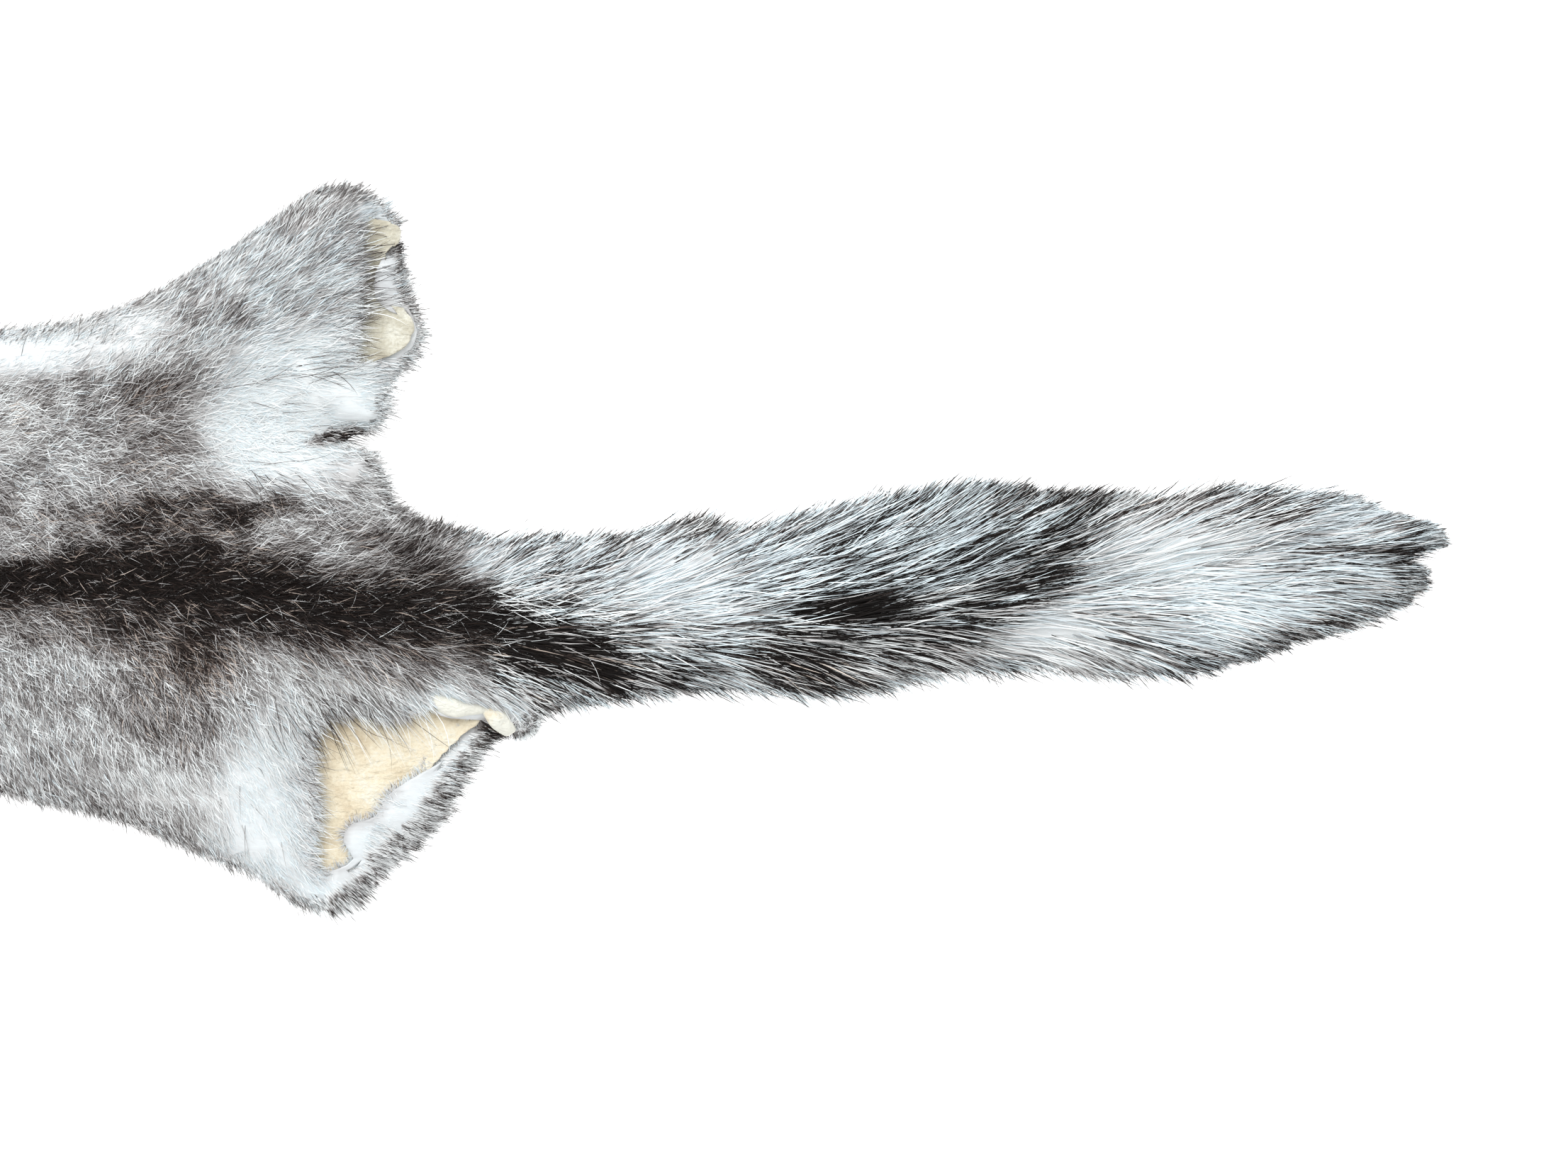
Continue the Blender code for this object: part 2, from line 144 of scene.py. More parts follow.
# Soft patches of colour, each laid over those before it: place, half length, half width, turn, shade, how
# much it covers, how much the guard hair thins out there, and tint, from -1, blue, to 1, brown
PATCH_COLUMNS = ("behind", "right", "length", "width", "turn", "shade", "cover", "soft", "tint")
PATCHES = [
    # body in front of the photograph
    (-330, 44, 260, 9, 0, 0.95, 0.9, 0.6, 0),
    (-330, -44, 260, 8, 0, 0.82, 0.7, 0.2, 0),
    (-545, 0, 32, 26, 0, 0.34, 0.7, 0, 0.5),
    # body above the stripe
    (-84, 26, 9, 7, 0, 0.78, 0.8, 0.1, 0.1),
    (-78, 5, 12, 6, 0, 0.58, 0.7, 0, 0.1),
    (-54, 19, 10, 14, 0, 0.59, 0.8, 0, 0.1),
    (-49.5, 26, 4.4, 10, 0, 0.46, 0.7, 0, 0.15),
    (-55, 31, 6, 3, 0, 0.4, 0.75, 0, 0.3),
    (-52, 7, 16, 4, 4, 0.3, 0.85, 0, 0.4),
    (-38, 6, 5.5, 3.4, -8, 0.2, 0.9, 0, 0.4),
    (-81, 40.6, 21, 5.6, 4, 0.91, 1.0, 0.97, -0.4),
    (-62, 43.5, 11, 4.8, 24, 0.89, 1.0, 0.7, -0.2),
    # right thigh and foot
    (-30, 55, 20, 15, 35, 0.8, 0.9, 0.1, -0.45),
    (-45, 50, 5, 3.6, 40, 0.6, 0.7, 0, -0.1),
    (-38, 47, 3.4, 2.6, 0, 0.52, 0.7, 0, -0.1),
    (-28, 60, 5, 3.5, 40, 0.71, 0.7, 0, -0.4),
    (-20, 60, 6, 2.4, 28, 0.7, 0.7, 0, -0.5),
    (-26, 67, 5, 3, 30, 0.58, 0.7, 0, 0.1),
    (-16, 72, 5, 2, 0, 0.64, 0.7, 0, 0.1),
    (-29, 24, 17.5, 13, 0, 0.97, 1.0, 0.97, -0.25),
    (-26, 38, 13, 6, 14, 0.96, 1.0, 0.75, -0.3),
    (-12, 29, 7, 10, 0, 0.98, 0.95, 0.95, -0.35),
    (-18, 36, 7, 6, 0, 0.98, 0.95, 0.95, -0.2),
    (-9.5, 69, 4.5, 2.8, -20, 0.88, 1.0, 0.9, -0.8),
    (-6.4, 54.5, 3, 6.5, 0, 0.85, 1.0, 0.3, -0.5),
    # painted shadow: a dark line on the rim beside the upper lobe of the right foot's leather
    (-5, 62.8, 2.8, 0.8, 90, 0.08, 1.0, 0, 0.4),
    (-3, 40, 3.5, 7, -25, 0.95, 0.9, 0.6, -0.2),
    # partly painted shade: a near-black streak at the notch in the back's edge, for the shadow in the cut and
    # the dark fur under it
    (-16, 22.6, 4.2, 1.2, 2, 0.02, 1.0, 0, 0.2),
    # tail root, above the stripe
    (-31, 7.4, 8, 1.8, -10, 0.3, 0.8, 0, 0.3),
    (-26, 2.4, 8, 3.4, -8, 0.7, 0.9, 0.2, 0),
    (-17, 5.5, 6, 3.4, 0, 0.64, 0.8, 0, 0),
    (-9, 2, 7, 4.4, -6, 0.46, 0.85, 0, 0.1),
    (0, 0.5, 8, 4.6, -20, 0.34, 0.9, 0, 0),
    (2, 3.5, 6, 2, -10, 0.5, 0.7, 0, 0),
    # body below the stripe
    (-79, -38, 16, 18, 0, 0.715, 0.9, 0.1, -0.1),
    (-76, -16, 20, 3.8, -6, 0.46, 0.8, 0, 0.1),
    (-62, -19, 11, 4, -10, 0.42, 0.8, 0, 0.3),
    (-57, -31, 8, 9, 0, 0.56, 0.85, 0, 0.1),
    (-49, -35, 7, 8, 0, 0.52, 0.8, 0, 0.1),
    (-46, -23, 9, 5.4, -10, 0.42, 0.9, 0, 0.6),
    (-45, -41, 5, 5, -50, 0.56, 0.8, 0, 0.1),
    (-56, -50, 14, 7, -32, 0.8, 0.85, 0.2, 0),
    (-31, -28, 8, 6, -10, 0.77, 0.95, 0.3, 0),
    (-15, -26, 10, 4.6, 0, 0.74, 0.85, 0.1, 0.15),
    (-3, -25, 7, 4, 0, 0.6, 0.85, 0.1, 0.15),
    # left thigh and foot
    (-30, -43, 7, 11, 0, 0.88, 1.0, 0.6, -0.2),
    (-32.8, -58, 10.4, 15, 20, 0.93, 1.0, 0.97, -0.4),
    (-45, -52, 4, 8, 30, 0.84, 0.8, 0.3, 0),
    (-20, -72, 6, 4, -30, 0.95, 1.0, 0.9, -0.5),
    (-12, -63, 7, 5, 38, 0.94, 1.0, 0.9, -0.5),
    (-2, -52.5, 9, 5, 50, 0.93, 1.0, 0.9, -0.5),
    (6.5, -43, 6, 3.6, 45, 0.92, 1.0, 0.85, -0.5),
    # tail root, below the stripe
    (7, -25, 8, 4, -10, 0.55, 0.85, 0.1, 0),
    (12, -29, 9, 3, -12, 0.78, 0.9, 0.4, -0.1),
    (5, -32.5, 8, 2.6, -10, 0.98, 1.0, 0.8, -0.3),
    (21, -36.6, 5, 4.5, 0, 0.97, 1.0, 0.8, -0.1),
    # painted shadow: a dark streak in the gap between the folded edge and the belly's fur
    (14.4, -38.2, 3.4, 1.2, -40, 0.1, 1.0, 0, 0.3),
    (24, -32.4, 3, 1.8, 0, 0.4, 0.7, 0, 0.2),
    # tail
    (24, -3, 16, 6, -6, 0.69, 0.9, 0.3, -0.7),
    (14, -2.6, 7, 3.6, -6, 0.84, 1.0, 0.7, -0.7),
    (31, -8, 3.6, 5, 0, 0.8, 0.9, 0.4, -0.6),
    (38, -2, 8, 4, 0, 0.73, 0.8, 0.2, -0.7),
    (42, -16, 10, 6, -14, 0.52, 0.85, 0.1, -0.1),
    (54, -9, 16, 10, 0, 0.81, 0.9, 0.4, -0.6),
    (49, -6, 6.6, 7, 0, 0.94, 1.0, 0.9, -0.6),
    (63, -11, 6.4, 6.4, 0, 0.93, 1.0, 0.8, -0.6),
    (58, 4, 7, 2, 6, 0.56, 0.8, 0, 0.2),
    (56, -21, 9, 4.4, -36, 0.66, 0.9, 0.2, -0.5),
    (82, 0, 13, 7, 14, 0.72, 0.9, 0.1, -0.95),
    (108, 3, 20, 10, 14, 0.57, 0.9, 0, -0.95),
    (108, -6, 14, 4.2, 12, 0.44, 0.8, 0, -0.9),
    (78, -20, 10, 5, -6, 0.46, 0.85, 0, 0.1),
    (86, -25, 8, 3, 0, 0.5, 0.8, 0, 0.3),
    (76, -26, 6, 3, 0, 0.26, 0.9, 0, 0.4),
    (68, -25, 5, 2.4, -20, 0.4, 0.8, 0, 0.2),
    (79, -12, 7, 3, 8, 0.56, 0.8, 0, -0.7),
    (92, -14, 12, 3.5, -8, 0.06, 1.0, 0, -0.4),
    (82, -20.5, 5, 3, 20, 0.28, 0.85, 0, 0.1),
    (101, -18.5, 14, 3.6, -2, 0.38, 0.9, 0, 0),
    (108, -13, 12, 4.4, 2, 0.44, 0.8, 0, -0.3),
    (104, -23.5, 10, 3, 2, 0.6, 0.85, 0.3, 0.1),
    (119, -10.5, 8, 4.2, 26, 0.42, 0.85, 0, -0.4),
    (127, -4, 6, 4.2, 42, 0.14, 0.95, 0, -0.1),
    (133.5, 1.5, 8, 4, 50, 0.44, 0.9, 0, -0.6),
    (133, 9, 15, 2.4, 0, 0.36, 0.8, 0, 0.2),
    (140, 5.5, 8, 3, 40, 0.45, 0.8, 0, -0.4),
    (121, -20.5, 8, 3.6, 4, 0.7, 0.9, 0.5, 0),
    (133, -16.5, 13, 7, 10, 0.92, 1.0, 0.97, -0.3),
    (137, -24, 10, 2.6, 0, 0.8, 0.8, 0.5, 0),
    (159, -2, 20, 9.6, 0, 0.955, 1.0, 0.97, -0.25),
    (166, -13, 18, 6.6, 14, 0.95, 0.95, 0.7, -0.6),
    (147, -15.5, 4.6, 2.6, 20, 0.78, 0.8, 0.4, 0),
    (150, 8.4, 9, 2, 8, 0.66, 0.7, 0, 0.2),
    (172, 7.6, 5, 2.6, -20, 0.46, 0.8, 0, 0.1),
    (180, 6, 4, 2.4, 0, 0.55, 0.7, 0, 0.2),
    (190, -6, 13, 4.6, -10, 0.76, 0.85, 0.2, -0.8),
    (197, -1.2, 5, 1.8, -12, 0.26, 0.9, 0, -0.3),
    (200, -8, 5, 3.4, 0, 0.6, 0.85, 0, -0.5),
    (189, 5.4, 8, 3.6, 0, 0.86, 1.0, 0.7, -0.9),
    (171, -20.5, 15, 1.5, 15, 0.5, 0.8, 0, -0.4),
    (188, -15, 11, 1.8, 16, 0.6, 0.85, 0, -0.4),
]
BODY_SHADE = 0.67
# The shades at which the coat takes the colours named in its settings
SHADE_STOPS = {"black": 0.0, "stripe": 0.12, "slate": 0.3, "grey": 0.6, "silver": 0.82, "white": 1.0}
TIP_SHADE = 0.14  # of dark-tipped hair

# Where the rim's hair is tipped dark: distance behind, share on the right side, share on the left side
DARK_RIM = [
    (-569, 0.3, 0.3), (-120, 0.4, 0.35), (-87, 0.95, 0.5), (-50, 0.4, 0.5), (-34, 0.35, 0.7),
    (-20, 0.45, 0.9), (-8, 0.6, 0.95), (8, 0.6, 0.95), (25, 0.6, 0.7), (60, 0.5, 0.45), (110, 0.5, 0.5),
    (150, 0.5, 0.75), (190, 0.5, 0.8), (211, 0.7, 0.8),
]
MIDDLE = -8  # between the two sides
# How far inside the rim the dark tips begin: distance behind, depth
RIM_DEPTH = [(-90, 1.2), (-62, 1.2), (-42, 0.5), (-24, 0.5), (150, 0.5), (170, 0.8), (211, 0.8)]

# How much the hairs stray from the way the fur lies, in radians: distance behind, spread
RUFFLE = [
    (-569, 0.4), (-100, 0.55), (-62, 0.55), (-35, 0.4), (-14, 0.24), (12, 0.18), (45, 0.12), (211, 0.08),
]
# The same, as a share of that, by the distance to either side
RUFFLE_ASIDE = [(0, 1.0), (26, 1.0), (42, 0.5), (80, 0.4)]

# Where the back stops short and the belly's leather shows
LEFT_WINDOW = [
    (-22.9, -36.6), (-15.6, -33.2), (-6.8, -34.4), (0.4, -31.2), (3.2, -33.6), (10.4, -34.6), (6.6, -38.2),
    (3.2, -41.6), (-0.8, -45.8), (-4.6, -48.4), (-8.2, -50.8), (-10.4, -54.8), (-15.4, -56.6), (-16.7, -60.2),
    (-14.6, -63.8), (-18, -66), (-22.4, -66.4), (-23.4, -61), (-22.6, -52), (-24, -42),
]
RIGHT_WINDOW = [
    (-13.8, 65.6), (-12, 67), (-8.5, 66.4), (-5.7, 65.2), (-5.7, 62.4), (-8, 60.3), (-8.8, 57), (-8.8, 51.5),
    (-7.6, 49.2), (-4.4, 48.5), (-2.7, 45), (-3.4, 42), (-5.6, 40.2), (-9.5, 38.6), (-14.6, 37.2), (-14, 43),
    (-13.4, 48), (-13.4, 55), (-13.6, 60),
]
NOTCH = [(200.5, -2.2), (203, -1.0), (207, -0.8), (211, -1.4), (211, -4), (205, -3.8), (202, -3.2)]
LEATHER_LEVEL = 7.15  # underside of the leather, in the slit between back and belly
LEATHER_CELL = 0.6
CURL_THICKNESS = 0.45
EDGE_STRANDS = 9000  # strands that hang over the edges of the leather
# The strip of belly fur past the leather of the left foot: its ends, its inner edge at the root of the tail
# and that edge's slope, two corners of a box that holds it, and how many roots are tried there
STRIP_START, STRIP_END = -22, 14
STRIP_EDGE, STRIP_SLOPE = -37, -0.15
STRIP_BOX = ((-22, -76), (16, -36))
STRIP_TRIALS = 90000
BALL = (19.6, -35.7)  # the ball of fur past the folded edge
BALL_RADIUS = 3.4
BALL_FAN = (-125, 30)  # headings of its hair
BALL_STRANDS = 1500

# The curled edge of the back at the root of the tail, a roll and a fold: place, radius, height of its middle
ROLL = [
    (0.2, -30.0, 0.3, 9.8), (1.8, -30.9, 1.1, 9.9), (3.6, -31.9, 1.7, 9.8), (5.6, -32.5, 1.75, 9.8),
    (7.6, -32.8, 1.5, 9.7), (9.6, -33.0, 1.15, 9.6), (11.2, -33.1, 0.8, 9.5), (12.6, -33.2, 0.3, 9.4),
]
FOLD = [
    (12.2, -33.0, 0.5, 9.4), (13.8, -34.2, 1.3, 9.3), (15.2, -35.5, 1.8, 9.0), (16.5, -36.8, 1.5, 8.5),
    (17.5, -38.2, 0.6, 7.8),
]
CURL_BARE = [
    (0.2, -29.6), (3, -29.8), (6, -30.7), (10, -31.7), (13, -31.6), (16.4, -33.2), (17.9, -35.4), (18.5, -38),
    (16.8, -39), (14.8, -37.6), (13.2, -35.6), (11.4, -34.4), (8, -34.6), (5, -34.4), (2, -32.8),
]

# Loose single hairs: middle of their roots, its spread each way, heading, its spread, length, count, shade
LOOSE_COLUMNS = ("behind", "right", "along", "across", "heading", "spread", "length", "count", "shade")
LOOSE = [
    (-76, 41, 12, 4, 70, 14, 9, 12, 0.4),
    (-34, 30, 12, 5, 4, 12, 11, 12, 0.45),
    (-26, 36, 8, 3, 6, 8, 12, 20, 0.4),
    (-30, 20, 9, 4, 0, 16, 10, 7, 0.4),
    (-34, 14, 6, 3, -45, 10, 10, 30, 0.3),
    (-14.8, 55, 1, 7, 8, 12, 11, 36, 0.32),
    (-14.8, 55, 1, 7, 8, 12, 10, 12, 1.0),
    (-17, 58, 3, 10, 12, 14, 9, 30, 0.3),
    (-17, 58, 3, 10, 10, 14, 9, 30, 1.0),
    (-18, 43, 3, 6, 2, 10, 9, 26, 0.35),
    (-18, 43, 3, 6, 0, 12, 8, 40, 1.0),
    (-20, -31, 11, 4, -56, 8, 15, 60, 0.3),
    (-14, -31, 12, 4, -54, 10, 14, 70, 1.0),
    (-26, -40, 4, 7, -46, 12, 11, 20, 0.4),
    (-25, -55, 2, 10, -22, 12, 6, 10, 0.4),
    (-25, -55, 2, 10, -22, 14, 6, 60, 1.0),
    (-35, -53, 7, 8, -60, 24, 11, 6, 0.58),
    (-16, 24, 4, 2, -10, 30, 9, 18, 1.0),
    (-13, 14, 3, 7, -4, 16, 9, 90, 1.0),
    (150, 0, 12, 4, 18, 8, 30, 12, 0.3),
    (162, -8, 14, 4, 12, 8, 26, 10, 0.3),
    (64, -6, 14, 4, 24, 14, 18, 14, 0.25),
    (20, -10, 14, 5, 4, 22, 13, 60, 1.0),
    (-64, -7, 32, 10, -6, 34, 4, 170, 0.72),
    (-20, -12, 24, 9, 4, 28, 6, 120, 0.88),
    (8, -16, 16, 7, -6, 22, 9, 90, 0.95),
]

# How many strands each of these pieces has
STRANDS = {
    "hind_wool": 150000, "hind_guard_hair": 62000, "tail_wool": 70000, "tail_brush": 30000,
    "front_guard_hair": 60000, "rim_fringe": 22000, "belly_fringe": 7500,
}
SPACES = 4  # bands of the fur's map: plain, dark-tipped, blue and brown
PLAIN, DARK_TIPPED, BLUE, BROWN = range(SPACES)
SHADE_WIDTH = 0.006  # width of a strand on the map
BAKE_MAP = "OFBake"
ANY_LENGTH = 20.0  # lets strands lie over the leather
OVERHANG_MOST = 4.0  # added at most to the least that a kind of strand passes the rim by
ROOT_DEPTH = 0.4  # no guard hair or wool has its root nearer to the rim
TUFT_TURN = 0.14  # how far tufts turn from the way the fur lies, in radians
BUMP_DISTANCE = 0.0006  # metres
SUN_SPREAD = 45  # degrees
SUN_TILT = (-34, -24, 0)
PICTURE_MIDDLE = (0.2524, -0.0085, 0.008)


def spread_along(table, places):
    """Values of a table of (place, value) at places."""
    return np.interp(places, *zip(*table))


def ways(heading):
    """Unit steps along headings."""
    return np.stack([np.cos(heading), np.sin(heading)], axis=-1)


def unit(way, least=1e-6):
    """Ways made one long, but for those that are hardly longer than the least."""
    return way / (np.linalg.norm(way, axis=-1)[..., None] + least)


def plan_places(points):
    """Places in the tables' millimetres of points in metres."""
    return np.array([((p.x - TAIL_ROOT_X) / MM, p.y / MM) for p in points])


def linked(name, data):
    """A new object of this data, in the scene."""
    made = bpy.data.objects.new(name, data)
    bpy.context.scene.collection.objects.link(made)
    return made


def finished(name, shape):
    """The mesh of a shape, which is then freed."""
    mesh = bpy.data.meshes.new(name)
    shape.to_mesh(mesh)
    shape.free()
    return mesh


def to_frame(shape):
    """Takes a shape from the tables' millimetres to the frame's metres."""
    bmesh.ops.scale(shape, verts=shape.verts, vec=(MM, MM, MM))
    bmesh.ops.translate(shape, verts=shape.verts, vec=(TAIL_ROOT_X, 0, 0))


# Maps of the plan
def smooth_closed(corners, pieces=6):
    """A smooth closed curve through the corners (Catmull-Rom)."""
    p = np.array(corners, float)
    before, after, beyond = (np.roll(p, shift, axis=0) for shift in (1, -1, -2))
    curve = []
    for t in np.linspace(0, 1, pieces, endpoint=False):
        curve.append(
            p + 0.5 * t * (after - before)
            + t**2 * (before - 2.5 * p + 2 * after - 0.5 * beyond)
            + 0.5 * t**3 * (3 * (p - after) + beyond - before)
        )
    return np.stack(curve, axis=1).reshape(-1, 2)


def inside(curve, points):
    """Which points lie inside a closed curve."""
    x, y = points[:, :1], points[:, 1:2]
    x0, y0 = curve[:, 0][None], curve[:, 1][None]
    x1, y1 = (np.roll(curve[:, k], -1)[None] for k in (0, 1))
    crosses = (y0 > y) != (y1 > y)
    rise = np.where(y1 == y0, 1.0, y1 - y0)
    return (crosses & (x < (x1 - x0) * (y - y0) / rise + x0)).sum(1) % 2 == 1


def nearest(curve, point):
    """Nearest point of a closed curve of short steps."""
    return curve[int(np.linalg.norm(curve - point, axis=1).argmin())]


def rim_points(mesh):
    """Points along the rim of the flat underside, in millimetres from the root of the tail."""
    shape = bmesh.new()
    shape.from_mesh(mesh)
    bmesh.ops.remove_doubles(shape, verts=shape.verts, dist=1e-6)
    found = []
    for edge in shape.edges:
        downward = [face.normal.z < -0.99 and face.calc_center_median().z < 1e-5 for face in edge.link_faces]
        if any(downward) and not all(downward):
            a, b = (v.co for v in edge.verts)
            pieces = max(1, int((b - a).length / MM / RIM_SAMPLE))
            found += [a.lerp(b, k / pieces) for k in range(pieces)]
    shape.free()
    return plan_places(found)


def blurred(values, reach):
    """Values smoothed by a running mean along each way, twice."""
    for _ in range(2):
        for axis in (0, 1):
            shifts = [np.roll(values, k, axis=axis) for k in range(-reach, reach + 1)]
            values = sum(shifts) / len(shifts)
    return values


class Plan:
    """Height of the fur and distance inside its rim, on a grid over the pelt's plan."""

    def __init__(self, mesh):
        low, high = CAD_BOX
        self.low = np.array([(low[0] - TAIL_ROOT_X) / MM, low[1] / MM]) - MAP_MARGIN
        size = np.array([(high[0] - low[0]) / MM, (high[1] - low[1]) / MM]) + 2 * MAP_MARGIN
        self.shape = tuple(int(s / GRID) + 2 for s in size)
        surface = BVHTree.FromPolygons([v.co for v in mesh.vertices], [p.vertices for p in mesh.polygons])
        rim = rim_points(mesh)
        tree = KDTree(len(rim))
        for k, p in enumerate(rim):
            tree.insert((p[0], p[1], 0), k)
        tree.balance()
        height = np.zeros(self.shape)
        self.depth = np.zeros(self.shape)
        down = Vector((0, 0, -1))
        for i in range(self.shape[0]):
            for j in range(self.shape[1]):
                x, y = self.low + GRID * np.array([i, j])
                hit = surface.ray_cast(Vector((x * MM + TAIL_ROOT_X, y * MM, RAY_HEIGHT)), down)[0]
                gap = tree.find((x, y, 0))[2]
                height[i, j] = hit.z / MM if hit else 0.0
                self.depth[i, j] = gap if hit else -gap
        grid = np.stack(np.meshgrid(*(np.arange(n) for n in self.shape), indexing="ij"), axis=2)
        grid = grid.reshape(-1, 2) * GRID + self.low
        sharp = np.zeros(len(grid))
        for behind, right, radius, most in SHARP_RIMS:
            away = np.linalg.norm(grid - (behind, right), axis=1)
            sharp = np.maximum(sharp, most * np.clip(1.5 - away / radius, 0, 1))
        self.sharp = sharp.reshape(self.shape)
        self.soft_depth = self.sharp * self.depth + (1 - self.sharp) * blurred(self.depth, RIM_BLUR)
        self.clear = np.full(self.shape, FAR)
        for curve in bare_outlines():
            close = np.flatnonzero(np.abs(grid - curve.mean(0)).max(1) < LEATHER_NEAR)
            gaps = np.linalg.norm(grid[close][:, None] - curve[None], axis=2).min(1)
            gaps = np.where(inside(curve, grid[close]), -gaps, gaps)
            self.clear.ravel()[close] = np.minimum(self.clear.ravel()[close], gaps)
        furred = ((height > 0) & (self.clear > 0)).astype(float)
        spread = blurred(height * furred, HEIGHT_BLUR) / np.maximum(blurred(furred, HEIGHT_BLUR), 0.02)
        leather = LEATHER_LEVEL + LEATHER_CLEAR
        spread = leather + (spread - leather) * np.exp(np.minimum(self.clear, 0) / LIP_DROOP)
        self.height = spread * np.exp(np.minimum(self.depth, 0) / DROOP)

    def read(self, values, points):
        """Values of a map at points, between the grid's own."""
        place = (points - self.low) / GRID
        place = np.clip(place, 0, np.array(self.shape) - 1.001)
        at = place.astype(int)
        fx, fy = (place - at).T
        i, j = at.T
        return (
            values[i, j] * (1 - fx) * (1 - fy) + values[i + 1, j] * fx * (1 - fy)
            + values[i, j + 1] * (1 - fx) * fy + values[i + 1, j + 1] * fx * fy
        )

    def heights(self, points):
        return self.read(self.height, points)

    def depths(self, points):
        """Distance inside the rim, with its locks evened out."""
        return self.read(self.soft_depth, points)

    def slope(self, read, points):
        """How much what is read rises each way over two cells."""
        return np.stack([read(points + step) - read(points - step) for step in GRID * np.eye(2)], axis=1)

    def inward(self, points):
        """The level way towards the inside of the rim."""
        return unit(self.slope(self.depths, points))

    def drawn_in(self, points, depth):
        """Points with those past a depth inside the rim moved in to it."""
        for _ in range(3):
            short = np.maximum(depth - self.depths(points), 0)
            points = points + self.inward(points) * short[:, None]
        return points

    def clearances(self, points):
        """Distance to the bare leather, negative on it."""
        return self.read(self.clear, points)

    def onto_leather(self, points):
        """The level way towards the bare leather."""
        return -unit(self.slope(self.clearances, points))

    def normals(self, points):
        slope = self.slope(self.heights, points)
        return unit(np.column_stack([-slope, np.full(len(points), 2 * GRID)]), 0)


def soft_noise(points, cell, seed):
    """Smooth noise from -1 to 1 with lumps about a cell across."""
    table = np.random.default_rng(seed).uniform(-1, 1, (256, 256))
    place = points / cell + 1000
    at = np.floor(place).astype(int)
    share = place - at
    share = share * share * (3 - 2 * share)
    i, j = at.T % 256
    i1, j1 = (i + 1) % 256, (j + 1) % 256
    fx, fy = share.T
    near = table[i, j] * (1 - fx) + table[i1, j] * fx
    far = table[i, j1] * (1 - fx) + table[i1, j1] * fx
    return near * (1 - fy) + far * fy


def sway(points, cell, seed):
    """Smooth noise of its own for each of the two ways."""
    return np.stack([soft_noise(points, cell, seed), soft_noise(points, cell, seed + 1)], axis=1)


# The coat: how the fur lies and its colours
def heading_at(points):
    """Way the fur lies, in radians, between the two rows of FLOW on either side of each point."""
    rows = np.array([np.interp(points[:, 1], *zip(*pairs)) for _, pairs in FLOW])
    place = np.interp(points[:, 0], [behind for behind, _ in FLOW], np.arange(len(FLOW)))
    place = np.minimum(place, len(FLOW) - 1.001)
    row = place.astype(int)
    share = place - row
    column = np.arange(len(points))
    heading = rows[row, column] * (1 - share) + rows[row + 1, column] * share
    return np.radians(heading + 9 * soft_noise(points, 9.0, 1) + 5 * soft_noise(points, 3.5, 2))


def length_at(points):
    length = spread_along(LENGTHS, points[:, 0])
    at_left_foot = (points[:, 0] < LEFT_FOOT_END) & (points[:, 1] < LEFT_FOOT_SIDE)
    return np.where(at_left_foot, np.minimum(length, LEFT_FOOT_LENGTH), length)


def coat_at(points):
    """Shade, softness and tint of the coat at points."""
    frayed = points + 1.1 * sway(points, 7.0, 3)
    frayed += 0.9 * sway(points, 2.4, 5)
    coat = {"shade": np.full(len(points), BODY_SHADE), "soft": np.zeros(len(points))}
    coat["tint"] = np.interp(points[:, 0], (2, 30), (-0.1, -0.8))
    for row in PATCHES:
        patch = dict(zip(PATCH_COLUMNS, row))
        turn = math.radians(patch["turn"])
        away = frayed - np.array([patch["behind"], patch["right"]])
        along = (away[:, 0] * math.cos(turn) + away[:, 1] * math.sin(turn)) / patch["length"]
        across = (away[:, 1] * math.cos(turn) - away[:, 0] * math.sin(turn)) / patch["width"]
        share = patch["cover"] * np.exp(-(((along**2 + across**2) / 1.25) ** 2))
        for key in coat:
            coat[key] += share * (patch[key] - coat[key])
    behind, *columns = (np.array(column, float) for column in zip(*STRIPE))
    middle, half, shade, cover = (np.interp(points[:, 0], behind, column) for column in columns)
    share = cover * np.exp(-((np.abs(frayed[:, 1] - middle) / half) ** 2.6))
    coat["shade"] += share * (shade - coat["shade"])
    coat["soft"] *= 1 - share
    coat["tint"] += share * (0.5 - coat["tint"])
    mottle = 0.1 * soft_noise(points, 4.0, 7) + 0.06 * soft_noise(points, 1.8, 8)
    mottle *= np.interp(points[:, 1], (30, 48), (1.0, 0.45))
    coat["shade"] += mottle * (1 - coat["soft"]) * np.clip(coat["shade"] / 0.3, 0.2, 1)
    coat["shade"] = np.clip(coat["shade"], 0, 1)
    return coat


def ruffle_at(points):
    return spread_along(RUFFLE, points[:, 0]) * spread_along(RUFFLE_ASIDE, np.abs(points[:, 1]))


def dark_rim_at(points, plan):
    """Chance that a strand with its tip there is tipped dark: high near the rim, nothing further in."""
    behind, *sides = (np.array(column, float) for column in zip(*DARK_RIM))
    right, left = (np.interp(points[:, 0], behind, side) for side in sides)
    share = np.where(points[:, 1] > MIDDLE, right, left)
    return share * np.clip(1.6 - plan.depths(points) / spread_along(RIM_DEPTH, points[:, 0]), 0, 1)


def past_leather(points):
    """Which points are on the strip of belly fur past the leather of the left foot."""
    behind, right = points.T
    return (behind > STRIP_START) & (behind < STRIP_END) & (right < STRIP_EDGE + STRIP_SLOPE * behind)


def bare_outlines():
    """Outlines free of the body's fur: the leather, the curls, the notch in the tail's tip, and the ball."""
    ball = 0.75 * BALL_RADIUS * ways(np.linspace(0, 2 * math.pi, 24, endpoint=False)) + BALL
    return [smooth_closed(corners) for corners in (LEFT_WINDOW, RIGHT_WINDOW, CURL_BARE, NOTCH)] + [ball]


def bare_at(points):
    return np.any([inside(outline, points) for outline in bare_outlines()], axis=0)


